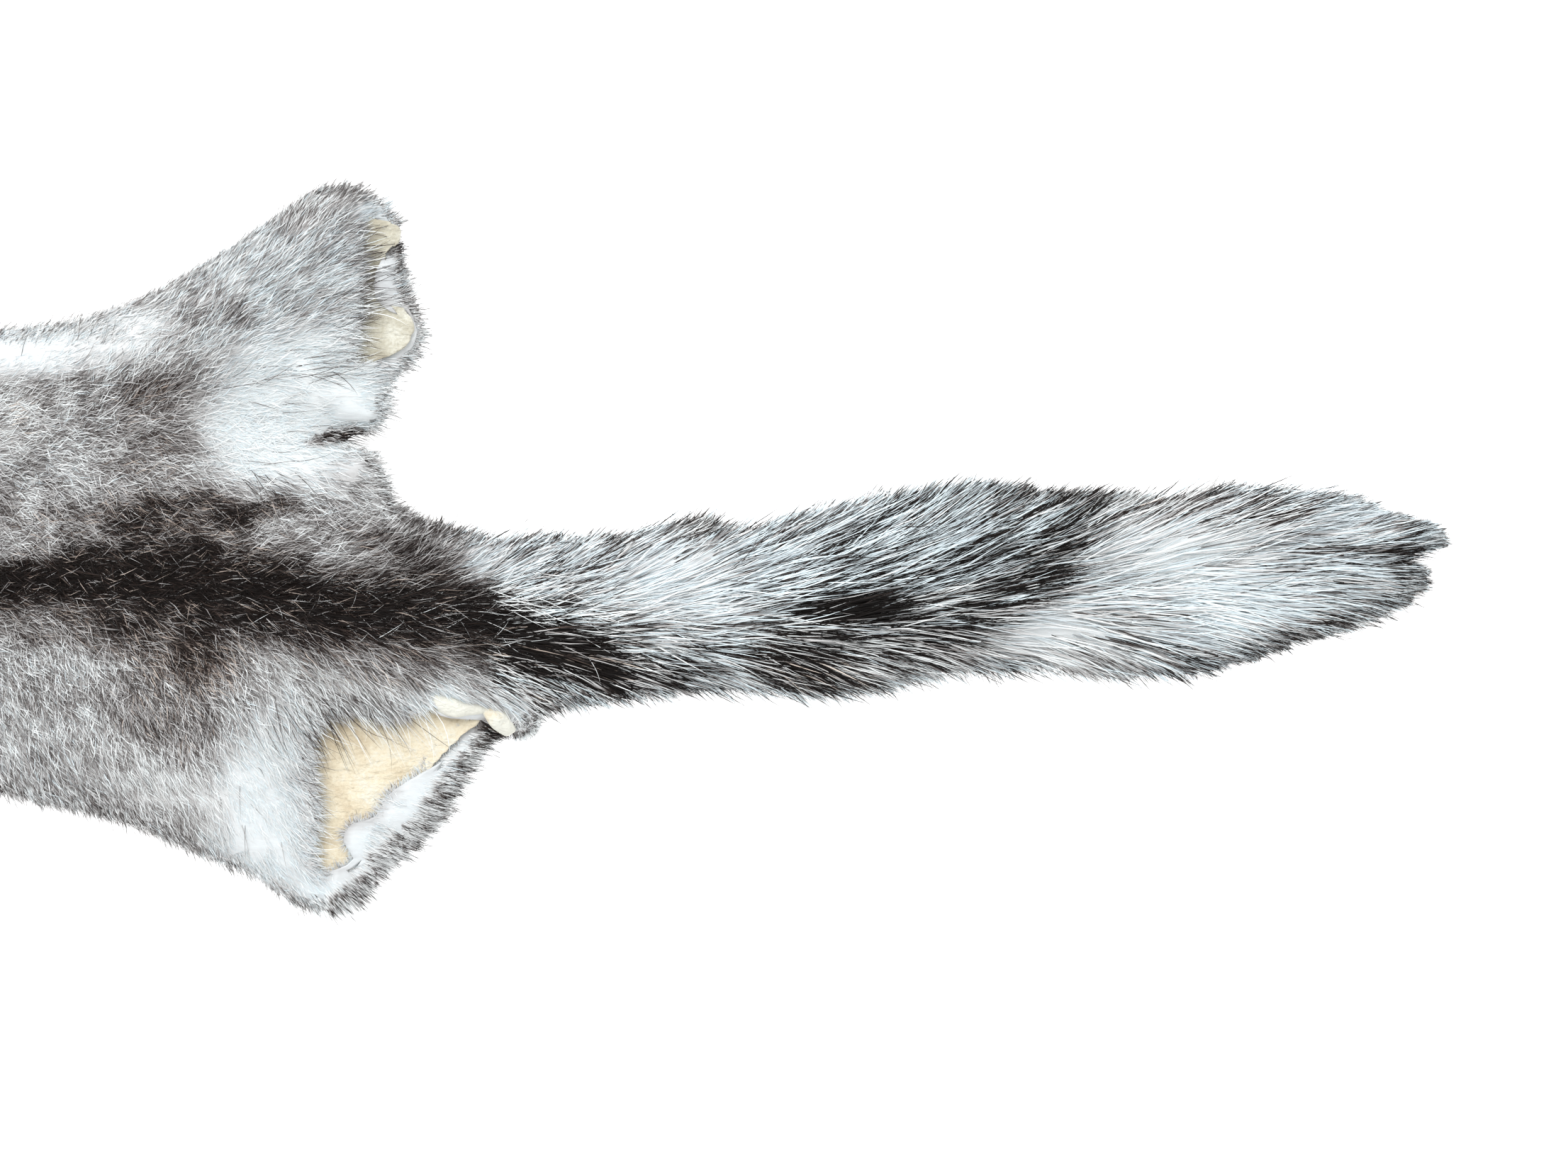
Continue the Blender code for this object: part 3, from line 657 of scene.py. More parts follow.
# Strands
def in_tufts(roots, cell, seed):
    """Middle of the tuft that each root belongs to, and three random numbers from -1 to 1 of that tuft."""
    turn = 0.5
    grid = np.array([[math.cos(turn), -math.sin(turn)], [math.sin(turn), math.cos(turn)]])
    place = roots @ grid / cell + 1000
    at = np.floor(place).astype(int)
    table = np.random.default_rng(seed).uniform(-1, 1, (512, 512, 5))
    own = table[at[:, 0] % 512, at[:, 1] % 512]
    middle = (at + 0.5 + 0.35 * own[:, :2] - 1000) * cell @ grid.T
    return middle, own[:, 2:]


def reach_limited(rng, roots, heading, length, plan, overhang, over_leather=1.3):
    """Lengths cut back so that no strand passes the rim by more than its overhang, or lies far on leather."""
    way = ways(heading)
    sharp = plan.read(plan.sharp, roots + way * length[:, None])
    overhang = overhang * (1 - 0.95 * sharp)
    over_leather = rng.exponential(over_leather, len(roots)) * (1 - 0.6 * sharp)
    whole = length
    for share in (0.8, 0.6, 0.4, 0.2):
        on = plan.clearances(roots + way * (whole * share)[:, None]) < -over_leather
        length = np.where(on, whole * share, length)
    for read, past in ((plan.depths, overhang), (plan.clearances, over_leather)):
        start = read(roots)
        for _ in range(3):
            tips = read(roots + way * length[:, None])
            share = np.clip((start + past) / np.maximum(start - tips, 1e-3), 0.12, 1)
            length = np.where(tips < -past, length * share, length)
    return length


def grow(rng, plan, name, span, *, cell, seed, stray, stretch, overhang, thinning=0.0, shorter=0.2,
         weight=None):
    """Roots, headings and lengths of a piece's strands, with the coat's colours where each shows.

    Tufts, a cell across, share a turn and a shade. Lengths are a stretch of the guard hair's. The overhang is
    the least that strands may pass the rim by, and the mean of what is added to it. The soft parts of the coat
    lose a share of their strands by thinning.
    """
    count = STRANDS[name]
    kept = []
    total = 0
    high = plan.low[1] + GRID * plan.shape[1]
    while total < count:
        roots = rng.uniform((span[0], plan.low[1]), (span[1], high), (2 * count, 2))
        roots = roots[plan.depths(roots) > ROOT_DEPTH]
        if weight is not None:
            roots = roots[rng.random(len(roots)) < weight(roots)]
        roots = roots[~bare_at(roots)]
        middle, own = in_tufts(roots, cell, seed)
        astray = stray * ruffle_at(roots) * rng.normal(0, 1, len(roots))
        heading = heading_at(roots) + TUFT_TURN * own[:, 0] + astray
        length = length_at(roots) * rng.uniform(*stretch, len(roots))
        past = overhang[0] + np.minimum(rng.exponential(overhang[1], len(roots)), OVERHANG_MOST)
        length = reach_limited(rng, roots, heading, length, plan, past)
        way = ways(heading) * length[:, None]
        found = coat_at(roots + 0.6 * way)
        crossed = np.maximum(found["soft"], 0.9 * coat_at(roots + 0.15 * way)["soft"])
        crossed = np.maximum(crossed, 0.85 * coat_at(roots + way)["soft"])
        length = length * (1 - shorter * found["soft"])
        found.update(roots=roots, heading=heading, length=length, middle=middle, own=own)
        found["dark"] = dark_rim_at(roots + way, plan)
        keep = rng.random(len(roots)) > thinning * crossed
        kept.append({key: value[keep] for key, value in found.items()})
        total += int(keep.sum())
    return {key: np.concatenate([part[key] for part in kept])[:count] for key in kept[0]}


def coated(roots, heading, length, middle, own):
    """Strands that lie so, with the coat's colours at their roots."""
    fur = coat_at(roots)
    fur.update(roots=roots, heading=heading, length=length, middle=middle, own=own)
    return fur


def strands(name, plan, rng, fur, width, shades, *, lift, segments, roll=0.6, bend=0.2, tuft=0.0, level=None):
    """A piece of flat, tapering strands, in one mesh, that lie along the fur's surface."""
    shade, band = shades
    roots, heading, length = fur["roots"], fur["heading"], fur["length"]
    count = len(roots)
    lift = rng.uniform(*lift, count)
    steps = np.linspace(0, 1, segments + 1)
    turn = heading[:, None] + (rng.normal(0, bend, count))[:, None] * (steps[None] - 0.3)
    way = ways(turn)
    moves = 0.5 * (way[:, 1:] + way[:, :-1]) * (length / segments)[:, None, None]
    path = np.concatenate([np.zeros((count, 1, 2)), np.cumsum(moves, axis=1)], axis=1) + roots[:, None]
    if tuft:
        path += tuft * (steps**1.2)[None, :, None] * (fur["middle"] - roots)[:, None]
    flat = path.reshape(-1, 2)
    surface = plan.heights(flat).reshape(count, -1)
    if level is not None:
        surface = np.minimum(surface, level[:, None] + 0 * surface)
    rise = (lift * length)[:, None] * (1 - (1 - steps) ** 2)[None]
    height = surface - 0.5 * (1 - steps)[None] ** 3 + rise
    height = np.maximum(height, FLOOR_CLEAR)
    line = np.concatenate([path, height[..., None]], axis=2)
    along = unit(np.gradient(line, axis=1), 1e-9)
    normal = plan.normals(roots)[:, None] + 0 * along
    side = unit(np.cross(normal, along), 1e-9)
    up = np.cross(along, side)
    turn = (rng.uniform(-roll, roll, count) * (1 - 0.75 * fur["soft"]))[:, None, None]
    blade = side * np.cos(turn) + up * np.sin(turn)
    taper = np.interp(steps, (0, 0.35, 0.75, 1), (0.75, 1.0, 0.62, 0.0))
    half = 0.5 * width[:, None, None] * taper[None, :, None] * blade
    left, right, tip = line[:, :-1] - half[:, :-1], line[:, :-1] + half[:, :-1], line[:, -1:]
    corners = np.concatenate([np.stack([left, right], axis=2).reshape(count, -1, 3), tip], axis=1)
    corners = corners * MM
    corners[..., 0] += TAIL_ROOT_X
    corners[..., 2] = np.maximum(corners[..., 2], 0.5 * FLOOR_CLEAR * MM)

    across = np.array([-0.5, 0.5] * segments + [0.0]) * SHADE_WIDTH
    u = np.clip(shade, SHADE_WIDTH, 1 - SHADE_WIDTH)[:, None] + across[None]
    v = (band[:, None] + 0.02 + 0.96 * np.append(np.repeat(steps[:-1], 2), 1.0)[None]) / SPACES
    mesh = strand_mesh(name, corners, np.stack([u, v], axis=2), segments)
    return dress(linked(name, mesh), strand_material(bpy.context.scene.pelt))


def strand_mesh(name, corners, places, segments):
    """The mesh of many strands, each of quads that end in a point."""
    count, each = corners.shape[:2]
    pattern = []
    for k in range(segments - 1):
        pattern += [2 * k, 2 * k + 1, 2 * k + 3, 2 * k + 2]
    pattern += [2 * segments - 2, 2 * segments - 1, 2 * segments]
    sizes = [4] * (segments - 1) + [3]
    loops = (np.arange(count)[:, None] * each + np.array(pattern)[None]).ravel()
    starts = np.arange(count)[:, None] * len(pattern) + np.concatenate([[0], np.cumsum(sizes)[:-1]])[None]
    mesh = bpy.data.meshes.new(name)
    mesh.vertices.add(count * each)
    mesh.vertices.foreach_set("co", corners.astype(np.float32).ravel())
    mesh.loops.add(len(loops))
    mesh.loops.foreach_set("vertex_index", loops.astype(np.int32))
    mesh.polygons.add(starts.size)
    mesh.polygons.foreach_set("loop_start", starts.ravel().astype(np.int32))
    uv = mesh.uv_layers.new(name=BAKE_MAP)
    uv.data.foreach_set("uv", places.reshape(-1, 2)[loops].astype(np.float32).ravel())
    mesh.update(calc_edges=True)
    mesh.validate()
    mesh.shade_smooth()
    return mesh


def lightness(shade, colours):
    """How much light a shade throws back."""
    light = [sum(getattr(colours, name)) / 3 for name in SHADE_STOPS]
    return np.interp(shade, list(SHADE_STOPS.values()), light)


def guard_shades(rng, fur, colours, contrast, streaks, dark=1.0, spread=0.3, lighten=0.62):
    """Shades and bands of guard hairs: light and dark ones mixed so that they come to the coat's own shade.

    Spread is how far they lie from it, and a lighten below 1 makes up for the shadows of hairs on each other.
    """
    mean = np.clip(fur["shade"] + streaks * fur["own"][:, 1] * (1 - fur["soft"]), 0, 1)
    count = len(mean)
    pale = np.clip(rng.normal(np.clip(mean + spread, 0.7, 0.98), 0.04, count), 0.5, 1)
    deep = np.clip(np.minimum(rng.normal(mean - spread, 0.06, count), mean - 0.01), 0.01, 0.5)
    least = lightness(deep, colours)
    share = (lightness(mean, colours) - least) / (lightness(pale, colours) - least)
    split = np.where(rng.random(count) < np.maximum(share, 0.012) ** lighten, pale, deep)
    flecks = rng.exponential(0.06, count) * (mean < 0.25)
    plain = np.clip(mean + rng.normal(0, 0.07 * (1.2 - fur["soft"]), count) + flecks, 0.01, 1)
    shade = np.where(rng.random(count) < contrast * (1 - 0.92 * fur["soft"]), split, plain)
    return banded(rng, fur, shade, least=0.9, dark=dark)


def bands(rng, fur, dark=1.0):
    """Which strands are plain, tipped dark, blue or brown."""
    count = len(fur["tint"])
    chance = rng.random(count)
    band = np.where(chance < -fur["tint"], BLUE, np.where(chance < fur["tint"], BROWN, PLAIN))
    tipped = dark * fur["dark"] * (1 + 0.7 * fur["own"][:, 2])
    return np.where(rng.random(count) < tipped, DARK_TIPPED, band)


def banded(rng, fur, shade, least, dark=1.0):
    """Shades and bands, where a strand that is tipped dark has at least this shade below its tip."""
    band = bands(rng, fur, dark)
    return np.where(band == DARK_TIPPED, np.maximum(shade, least), shade), band


def edge_shades(rng, fur, lighter, stray):
    """Shades and bands of short fur at an edge, lighter than the coat."""
    shade = lighter + (1 - lighter) * fur["shade"] + rng.normal(0, stray, len(fur["shade"]))
    return banded(rng, fur, np.clip(shade, 0.05, 1), least=0.85)


def wool_shades(rng, fur, dark):
    """Shades and bands of the wool: darker than the coat under guard hair, and as light where it shows."""
    shade = np.interp(fur["shade"], (0, 0.3, 0.65, 0.9, 1), (0.02, 0.2, 0.56, 0.95, 1))
    shade = np.clip(shade + rng.normal(0, 0.04, len(shade)), 0.01, 1)
    return shade, bands(rng, fur, dark)


# Materials
def group_tree(name, inputs, outputs):
    """An empty node group with these named sockets, and its input and output nodes."""
    tree = bpy.data.node_groups.new(name, "ShaderNodeTree")
    for way, sockets in (("INPUT", inputs), ("OUTPUT", outputs)):
        for label, socket in sockets:
            tree.interface.new_socket(label, in_out=way, socket_type=socket)
    return tree, tree.nodes.new("NodeGroupInput"), tree.nodes.new("NodeGroupOutput")


def math_node(tree, operation, *values):
    """A Math node with these numbers or sockets as its inputs."""
    node = tree.nodes.new("ShaderNodeMath")
    node.operation = operation
    for k, value in enumerate(values):
        if isinstance(value, bpy.types.NodeSocket):
            tree.links.new(value, node.inputs[k])
        else:
            node.inputs[k].default_value = value
    return node.outputs[0]


def ramp_node(tree, factor, stops):
    """A colour ramp read at factor, with stops of (place, colour)."""
    node = tree.nodes.new("ShaderNodeValToRGB")
    tree.links.new(factor, node.inputs[0])
    elements = node.color_ramp.elements
    for k, (place, colour) in enumerate(stops):
        element = elements[k] if k < 2 else elements.new(place)
        element.position = place
        element.color = (*colour, 1.0)
    return node.outputs[0]


def tint_node(tree, share, base, tint):
    """A colour multiplied by a tint as far as the share goes."""
    node = tree.nodes.new("ShaderNodeMix")
    node.data_type = "RGBA"
    node.blend_type = "MULTIPLY"
    tree.links.new(share, node.inputs[0])
    tree.links.new(base, node.inputs[6])
    node.inputs[7].default_value = (*tint, 1.0)
    return node.outputs[2]


def noise_node(tree, scale, stretch=(1, 1, 1), detail=3.0, rough=0.55):
    """Noise on the piece's own coordinates, drawn out by its stretch."""
    place = tree.nodes.new("ShaderNodeTexCoord")
    mapping = tree.nodes.new("ShaderNodeMapping")
    mapping.inputs["Scale"].default_value = stretch
    tree.links.new(place.outputs["Object"], mapping.inputs["Vector"])
    node = tree.nodes.new("ShaderNodeTexNoise")
    node.inputs["Scale"].default_value = scale
    node.inputs["Detail"].default_value = detail
    node.inputs["Roughness"].default_value = rough
    tree.links.new(mapping.outputs["Vector"], node.inputs["Vector"])
    return node.outputs["Fac"]


def coat_group(colours):
    """Turns a shade and a tint into the colour of fur."""
    existing = bpy.data.node_groups.get("Coat colour")
    if existing:
        return existing
    tree, given, out = group_tree(
        "Coat colour",
        (("Shade", "NodeSocketFloat"), ("Tint", "NodeSocketFloat")),
        (("Colour", "NodeSocketColor"),),
    )
    names = ["black", "white"] + [name for name in SHADE_STOPS if name not in ("black", "white")]
    stops = [(SHADE_STOPS[name], getattr(colours, name)) for name in names]
    plain = ramp_node(tree, given.outputs["Shade"], stops)
    blue = math_node(tree, "MULTIPLY", given.outputs["Tint"], -1.0)
    blue = math_node(tree, "MAXIMUM", blue, 0.0)
    brown = math_node(tree, "MAXIMUM", given.outputs["Tint"], 0.0)
    cooled = tint_node(tree, blue, plain, colours.cool)
    tree.links.new(tint_node(tree, brown, cooled, colours.warm), out.inputs["Colour"])
    return tree


def new_material(name, roughness, specular, sheen=0.0):
    """A material, its node tree and its shader, with the values that are the same all over."""
    material = bpy.data.materials.new(name)
    material.use_nodes = True
    shader = material.node_tree.nodes["Principled BSDF"]
    shader.inputs["Roughness"].default_value = roughness
    shader.inputs["Specular IOR Level"].default_value = specular
    shader.inputs["Sheen Weight"].default_value = sheen
    return material, material.node_tree, shader


def add_coat(tree, shader, colours, shade, tint):
    """Gives a shader the colour of fur of this shade and tint."""
    coat = tree.nodes.new("ShaderNodeGroup")
    coat.node_tree = coat_group(colours)
    tree.links.new(shade, coat.inputs["Shade"])
    tree.links.new(tint, coat.inputs["Tint"])
    tree.links.new(coat.outputs["Colour"], shader.inputs["Base Color"])


def add_bump(tree, shader, height, strength):
    """Gives a shader's surface bumps of this height."""
    bump = tree.nodes.new("ShaderNodeBump")
    bump.inputs["Strength"].default_value = strength
    bump.inputs["Distance"].default_value = BUMP_DISTANCE
    tree.links.new(height, bump.inputs["Height"])
    tree.links.new(bump.outputs["Normal"], shader.inputs["Normal"])


def strand_material(settings):
    """Fur strands: the map's first way is the shade, and its second the band and the way along the strand."""
    existing = bpy.data.materials.get("Guard hair")
    if existing:
        return existing
    material, tree, shader = new_material("Guard hair", settings.fur.roughness, specular=0.13)
    uv = tree.nodes.new("ShaderNodeUVMap")
    uv.uv_map = BAKE_MAP
    parts = tree.nodes.new("ShaderNodeSeparateXYZ")
    tree.links.new(uv.outputs["UV"], parts.inputs[0])
    spread = math_node(tree, "MULTIPLY", parts.outputs["Y"], float(SPACES))
    band = math_node(tree, "FLOOR", spread)
    along = math_node(tree, "FRACT", spread)
    tipped, blue, brown = (
        math_node(tree, "COMPARE", band, float(kind), 0.5) for kind in (DARK_TIPPED, BLUE, BROWN)
    )
    ease = tree.nodes.new("ShaderNodeMapRange")
    ease.interpolation_type = "SMOOTHSTEP"
    ease.inputs["From Min"].default_value = 0.5
    ease.inputs["From Max"].default_value = 0.8
    tree.links.new(along, ease.inputs["Value"])
    tip = math_node(tree, "MULTIPLY", tipped, ease.outputs["Result"])
    fall = math_node(tree, "SUBTRACT", TIP_SHADE, parts.outputs["X"])
    shade = math_node(tree, "MULTIPLY_ADD", fall, tip, parts.outputs["X"])
    # Painted shade: each strand is darkened towards its root, to 0.78 at the root, for the shade deep in the
    # fur; strands lighter than that are darkened less
    depth = math_node(tree, "MAXIMUM", math_node(tree, "MULTIPLY_ADD", along, 0.22, 0.78), shade)
    shade = math_node(tree, "MULTIPLY", shade, depth)
    add_coat(tree, shader, settings.colours, shade, math_node(tree, "SUBTRACT", brown, blue))
    return material


def undercoat_material(settings):
    """Wool under the strands: the coat's colours, broken up by fine fibres."""
    material, tree, shader = new_material("Undercoat wool", roughness=0.9, specular=0.15, sheen=0.2)
    shade, tint = (tree.nodes.new("ShaderNodeAttribute") for _ in range(2))
    shade.attribute_name, tint.attribute_name = "shade", "tint"
    fibres = noise_node(tree, 1.0, (260, 1300, 1300), detail=4)
    tufts = noise_node(tree, 1.0, (90, 330, 330), detail=2)
    fibres = math_node(tree, "MULTIPLY", fibres, 0.3)
    both = math_node(tree, "ADD", fibres, math_node(tree, "MULTIPLY", tufts, 0.2))
    uneven = math_node(tree, "SUBTRACT", 1.2, shade.outputs["Fac"])
    away = math_node(tree, "SUBTRACT", both, 0.27)
    varied = math_node(tree, "MULTIPLY_ADD", away, uneven, shade.outputs["Fac"])
    add_coat(tree, shader, settings.colours, varied, tint.outputs["Fac"])
    add_bump(tree, shader, both, strength=0.5)
    return material


def leather_material(name, hollow, base, edge):
    """Dry suede mottled in these colours, with fine creases and pits."""
    material, tree, shader = new_material(name, roughness=0.78, specular=0.25, sheen=0.15)
    mottle = noise_node(tree, 170.0, detail=4)
    grain = noise_node(tree, 1500.0, detail=2, rough=0.7)
    creases = noise_node(tree, 1.0, (420, 800, 420), detail=3)
    uneven = math_node(tree, "MULTIPLY_ADD", math_node(tree, "SUBTRACT", grain, 0.5), 0.45, mottle)
    colour = ramp_node(tree, uneven, ((0.3, hollow), (0.8, edge), (0.54, base)))
    tree.links.new(colour, shader.inputs["Base Color"])
    add_bump(tree, shader, math_node(tree, "MULTIPLY_ADD", grain, 0.3, creases), strength=1.0)
    return material


# Settings
def colour(name, description, default):
    """A colour that a user would change."""
    return FloatVectorProperty(
        name=name, description=description, default=default, size=3, min=0, max=1, subtype="COLOR"
    )


def millimetres(name, description, default, least=0.05, most=1):
    """A size in millimetres that a user would change."""
    return FloatProperty(
        name=name, description=description + ", in millimetres", default=default, min=least, max=most
    )


class FurSettings(bpy.types.PropertyGroup):
    """Sizes of the fur."""

    guard_width: millimetres("Guard hair width", "Width of a guard hair on the body", 0.155)
    tail_width: millimetres("Tail hair width", "Width of a hair of the tail's brush", 0.27)
    wool_width: millimetres("Wool width", "Width of a strand of the wool", 0.34)
    front_width: millimetres("Front hair width", "Width of a strand on the front of the body", 0.5, most=2)
    roughness: FloatProperty(
        name="Roughness", description="Roughness of the hair's surface", default=0.55, min=0, max=1,
        subtype="FACTOR",
    )
    seed: IntProperty(name="Seed", description="Start of the random numbers that lay the strands", default=7)


class CoatColours(bpy.types.PropertyGroup):
    """Colours of the fur, from the stripe to white."""

    black: colour("Black", "Darkest hair of the stripe", (0.0042, 0.0029, 0.0024))
    stripe: colour("Stripe brown", "Brown hair of the stripe", (0.0115, 0.0062, 0.0046))
    slate: colour("Slate", "Dark hair among the silver", (0.052, 0.041, 0.038))
    grey: colour("Grey", "Middle grey of the flanks", (0.31, 0.295, 0.29))
    silver: colour("Silver", "Light silver hair", (0.62, 0.625, 0.625))
    white: colour("White", "White hair", (0.815, 0.855, 0.86))
    cool: colour("Blue tint", "Laid over the bluish hair of the tail and feet", (0.875, 0.955, 1.0))
    warm: colour("Brown tint", "Laid over the brownish hair by the stripe", (1.0, 0.86, 0.76))


class LeatherSettings(bpy.types.PropertyGroup):
    """Thickness and colours of the bare leather."""

    thickness: millimetres("Thickness", "Thickness of the leather", 0.7, least=0.2, most=3)
    cream: colour("Cream", "Main colour of the leather", (0.65, 0.585, 0.445))
    tan: colour("Tan", "Leather in its creases and hollows", (0.53, 0.45, 0.32))
    edge: colour("Ivory", "Pale edges of the leather", (0.68, 0.68, 0.61))
    dull: colour("Dull", "Leather of the right foot", (0.49, 0.47, 0.385))
    hollow: colour("Dull hollow", "The same in its creases and hollows", (0.38, 0.35, 0.27))


class StageSettings(bpy.types.PropertyGroup):
    """Floor, light and camera."""

    picture_width: FloatProperty(
        name="Picture width", description="What the picture takes in across at the height of the pelt",
        default=0.3207, unit="LENGTH",
    )
    camera_height: FloatProperty(
        name="Camera height", description="Height of the camera over the pelt", default=1.6, unit="LENGTH",
    )
    sun_strength: FloatProperty(
        name="Light", description="Strength of the main soft light", default=2.6, min=0,
    )
    sky_strength: FloatProperty(name="Sky", description="Strength of the even light", default=1.0, min=0)
    floor: colour("Floor", "Colour of the floor", (0.95, 0.95, 0.95))
    floor_glow: FloatProperty(
        name="Floor glow", description="Light that the floor gives", default=0.75, min=0,
    )


class PeltSettings(bpy.types.PropertyGroup):
    """All settings of the pelt."""

    fur: PointerProperty(type=FurSettings)
    colours: PointerProperty(type=CoatColours)
    leather: PointerProperty(type=LeatherSettings)
    stage: PointerProperty(type=StageSettings)


_plans = {}


def the_plan():
    """The maps of the pelt's plan, made once."""
    if "pelt" not in _plans:
        _plans["pelt"] = Plan(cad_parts[NODE].data)
    return _plans["pelt"]


def begin(context, step):
    """The settings, the maps of the plan, and a step's own random numbers."""
    settings = context.scene.pelt
    return settings, the_plan(), np.random.default_rng(settings.fur.seed + step)


def dress(piece, material):
    """Gives a finished piece its material and body."""
    piece.data.materials.clear()
    piece.data.materials.append(material)
    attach(piece, BODY)
    return piece


class PELT_OT_undercoat(bpy.types.Operator):
    """Wool of the whole pelt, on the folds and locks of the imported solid"""

    bl_idname = "pelt.undercoat"
    bl_label = "Undercoat"

    def execute(self, context):
        plan = the_plan()
        shape = bmesh.new()
        shape.from_mesh(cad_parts[NODE].data)
        bmesh.ops.remove_doubles(shape, verts=shape.verts, dist=1e-6)
        upper = [e for e in shape.edges if all(v.co.z > 0.5 * MM for v in e.verts)]
        bmesh.ops.subdivide_edges(shape, edges=upper, cuts=1, use_grid_fill=True)
        bmesh.ops.triangulate(shape, faces=shape.faces)
        mesh = finished("undercoat", shape)
        mesh.shade_smooth()
        points = plan_places(v.co for v in mesh.vertices)
        height = np.array([v.co.z / MM for v in mesh.vertices])
        even = np.where(points[:, 0] < HIND_START, 0.8, 0.5) + 0.4 * plan.read(plan.sharp, points)
        points = plan.drawn_in(points, 0.3 + even)
        corners = np.column_stack([points * MM + (TAIL_ROOT_X, 0.0), height * MM])
        mesh.vertices.foreach_set("co", corners.astype(np.float32).ravel())
        coat = coat_at(points)
        rim = dark_rim_at(points, plan)
        shade = coat["shade"] * (1 - 0.45 * rim)
        belly = height < 1.0
        shade = np.where(belly, np.minimum(0.8 - 0.4 * rim, coat["shade"] + 0.2), 0.94 * shade)
        for key, values in (("shade", shade), ("tint", np.where(belly, 0.0, coat["tint"]))):
            made = mesh.attributes.new(key, "FLOAT", "POINT")
            made.data.foreach_set("value", values.astype(np.float32))
        piece = dress(linked("undercoat", mesh), undercoat_material(context.scene.pelt))
        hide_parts(NODE)
        return {"FINISHED"}


class PELT_OT_hind_fur(bpy.types.Operator):
    """Wool and guard hair of the hips, thighs and feet"""

    bl_idname = "pelt.hind_fur"
    bl_label = "Fur of the hind end"

    def execute(self, context):
        settings, plan, rng = begin(context, step=0)
        span = (HIND_START, TAIL_START + 5)

        name = "hind_wool"
        fur = grow(rng, plan, name, span, cell=2.4, seed=21, stray=1.3, stretch=(0.45, 0.72),
                   overhang=(-0.5, 0.4), shorter=0.3)
        width = settings.fur.wool_width * rng.uniform(0.7, 1.2, len(fur["roots"]))
        shades = wool_shades(rng, fur, dark=0.6)
        strands(name, plan, rng, fur, width, shades, lift=(0.12, 0.26), segments=1, tuft=0.3, roll=0.4)

        name = "hind_guard_hair"
        fur = grow(rng, plan, name, span, cell=2.0, seed=22, stray=1.0, stretch=(0.6, 1.15),
                   overhang=(0.0, 0.8), thinning=0.94, weight=lambda p: np.where(past_leather(p), 0.15, 1.0))
        width = settings.fur.guard_width * rng.uniform(0.7, 1.25, len(fur["roots"]))
        shades = guard_shades(rng, fur, settings.colours, contrast=0.7, streaks=0.04, spread=0.28)
        strands(name, plan, rng, fur, width, shades, lift=(0.12, 0.28), segments=2, tuft=0.15, bend=0.5)
        return {"FINISHED"}


class PELT_OT_tail_fur(bpy.types.Operator):
    """Wool and the long brush of the tail"""

    bl_idname = "pelt.tail_fur"
    bl_label = "Fur of the tail"

    def execute(self, context):
        settings, plan, rng = begin(context, step=1)

        name = "tail_wool"
        span = (TAIL_START - 4, 212.0)
        fur = grow(rng, plan, name, span, cell=3.0, seed=31, stray=2.0, stretch=(0.26, 0.42),
                   overhang=(-0.6, 0.3), shorter=0.5)
        width = settings.fur.wool_width * rng.uniform(0.8, 1.3, len(fur["roots"]))
        shades = wool_shades(rng, fur, dark=0.4)
        strands(name, plan, rng, fur, width, shades, lift=(0.1, 0.2), segments=1, tuft=0.2, roll=0.4)

        name = "tail_brush"
        span = (TAIL_START - 2, 208.0)
        fur = grow(rng, plan, name, span, cell=4.2, seed=32, stray=1.0, stretch=(0.6, 1.2),
                   overhang=(-0.3, 0.85), thinning=0.95)
        width = settings.fur.tail_width * rng.uniform(0.6, 1.2, len(fur["roots"]))
        shades = guard_shades(rng, fur, settings.colours, contrast=0.95, streaks=0.14, dark=0.35, spread=0.5,
                              lighten=0.72)
        strands(name, plan, rng, fur, width, shades, lift=(0.05, 0.14), segments=3, tuft=0.3, bend=0.16)
        return {"FINISHED"}


class PELT_OT_front_fur(bpy.types.Operator):
    """Fur of the back, shoulders and head"""

    bl_idname = "pelt.front_fur"
    bl_label = "Fur of the front"

    def execute(self, context):
        settings, plan, rng = begin(context, step=2)
        name = "front_guard_hair"
        span = (-575.0, HIND_START + 3)
        ends = (-569, -260, HIND_START)
        fur = grow(rng, plan, name, span, cell=4.0, seed=41, stray=1.0, stretch=(0.7, 1.3),
                   overhang=(0.0, 0.9), thinning=0.6,
                   weight=lambda p: np.interp(p[:, 0], ends, (0.4, 0.45, 1.0)))
        coarse, fine = settings.fur.front_width, settings.fur.wool_width
        width = np.interp(fur["roots"][:, 0], ends, (coarse, coarse, fine))
        width = width * rng.uniform(0.7, 1.3, len(width))
        shades = guard_shades(rng, fur, settings.colours, contrast=0.6, streaks=0.08)
        strands(name, plan, rng, fur, width, shades, lift=(0.12, 0.26), segments=2, tuft=0.3, bend=0.3)
        return {"FINISHED"}


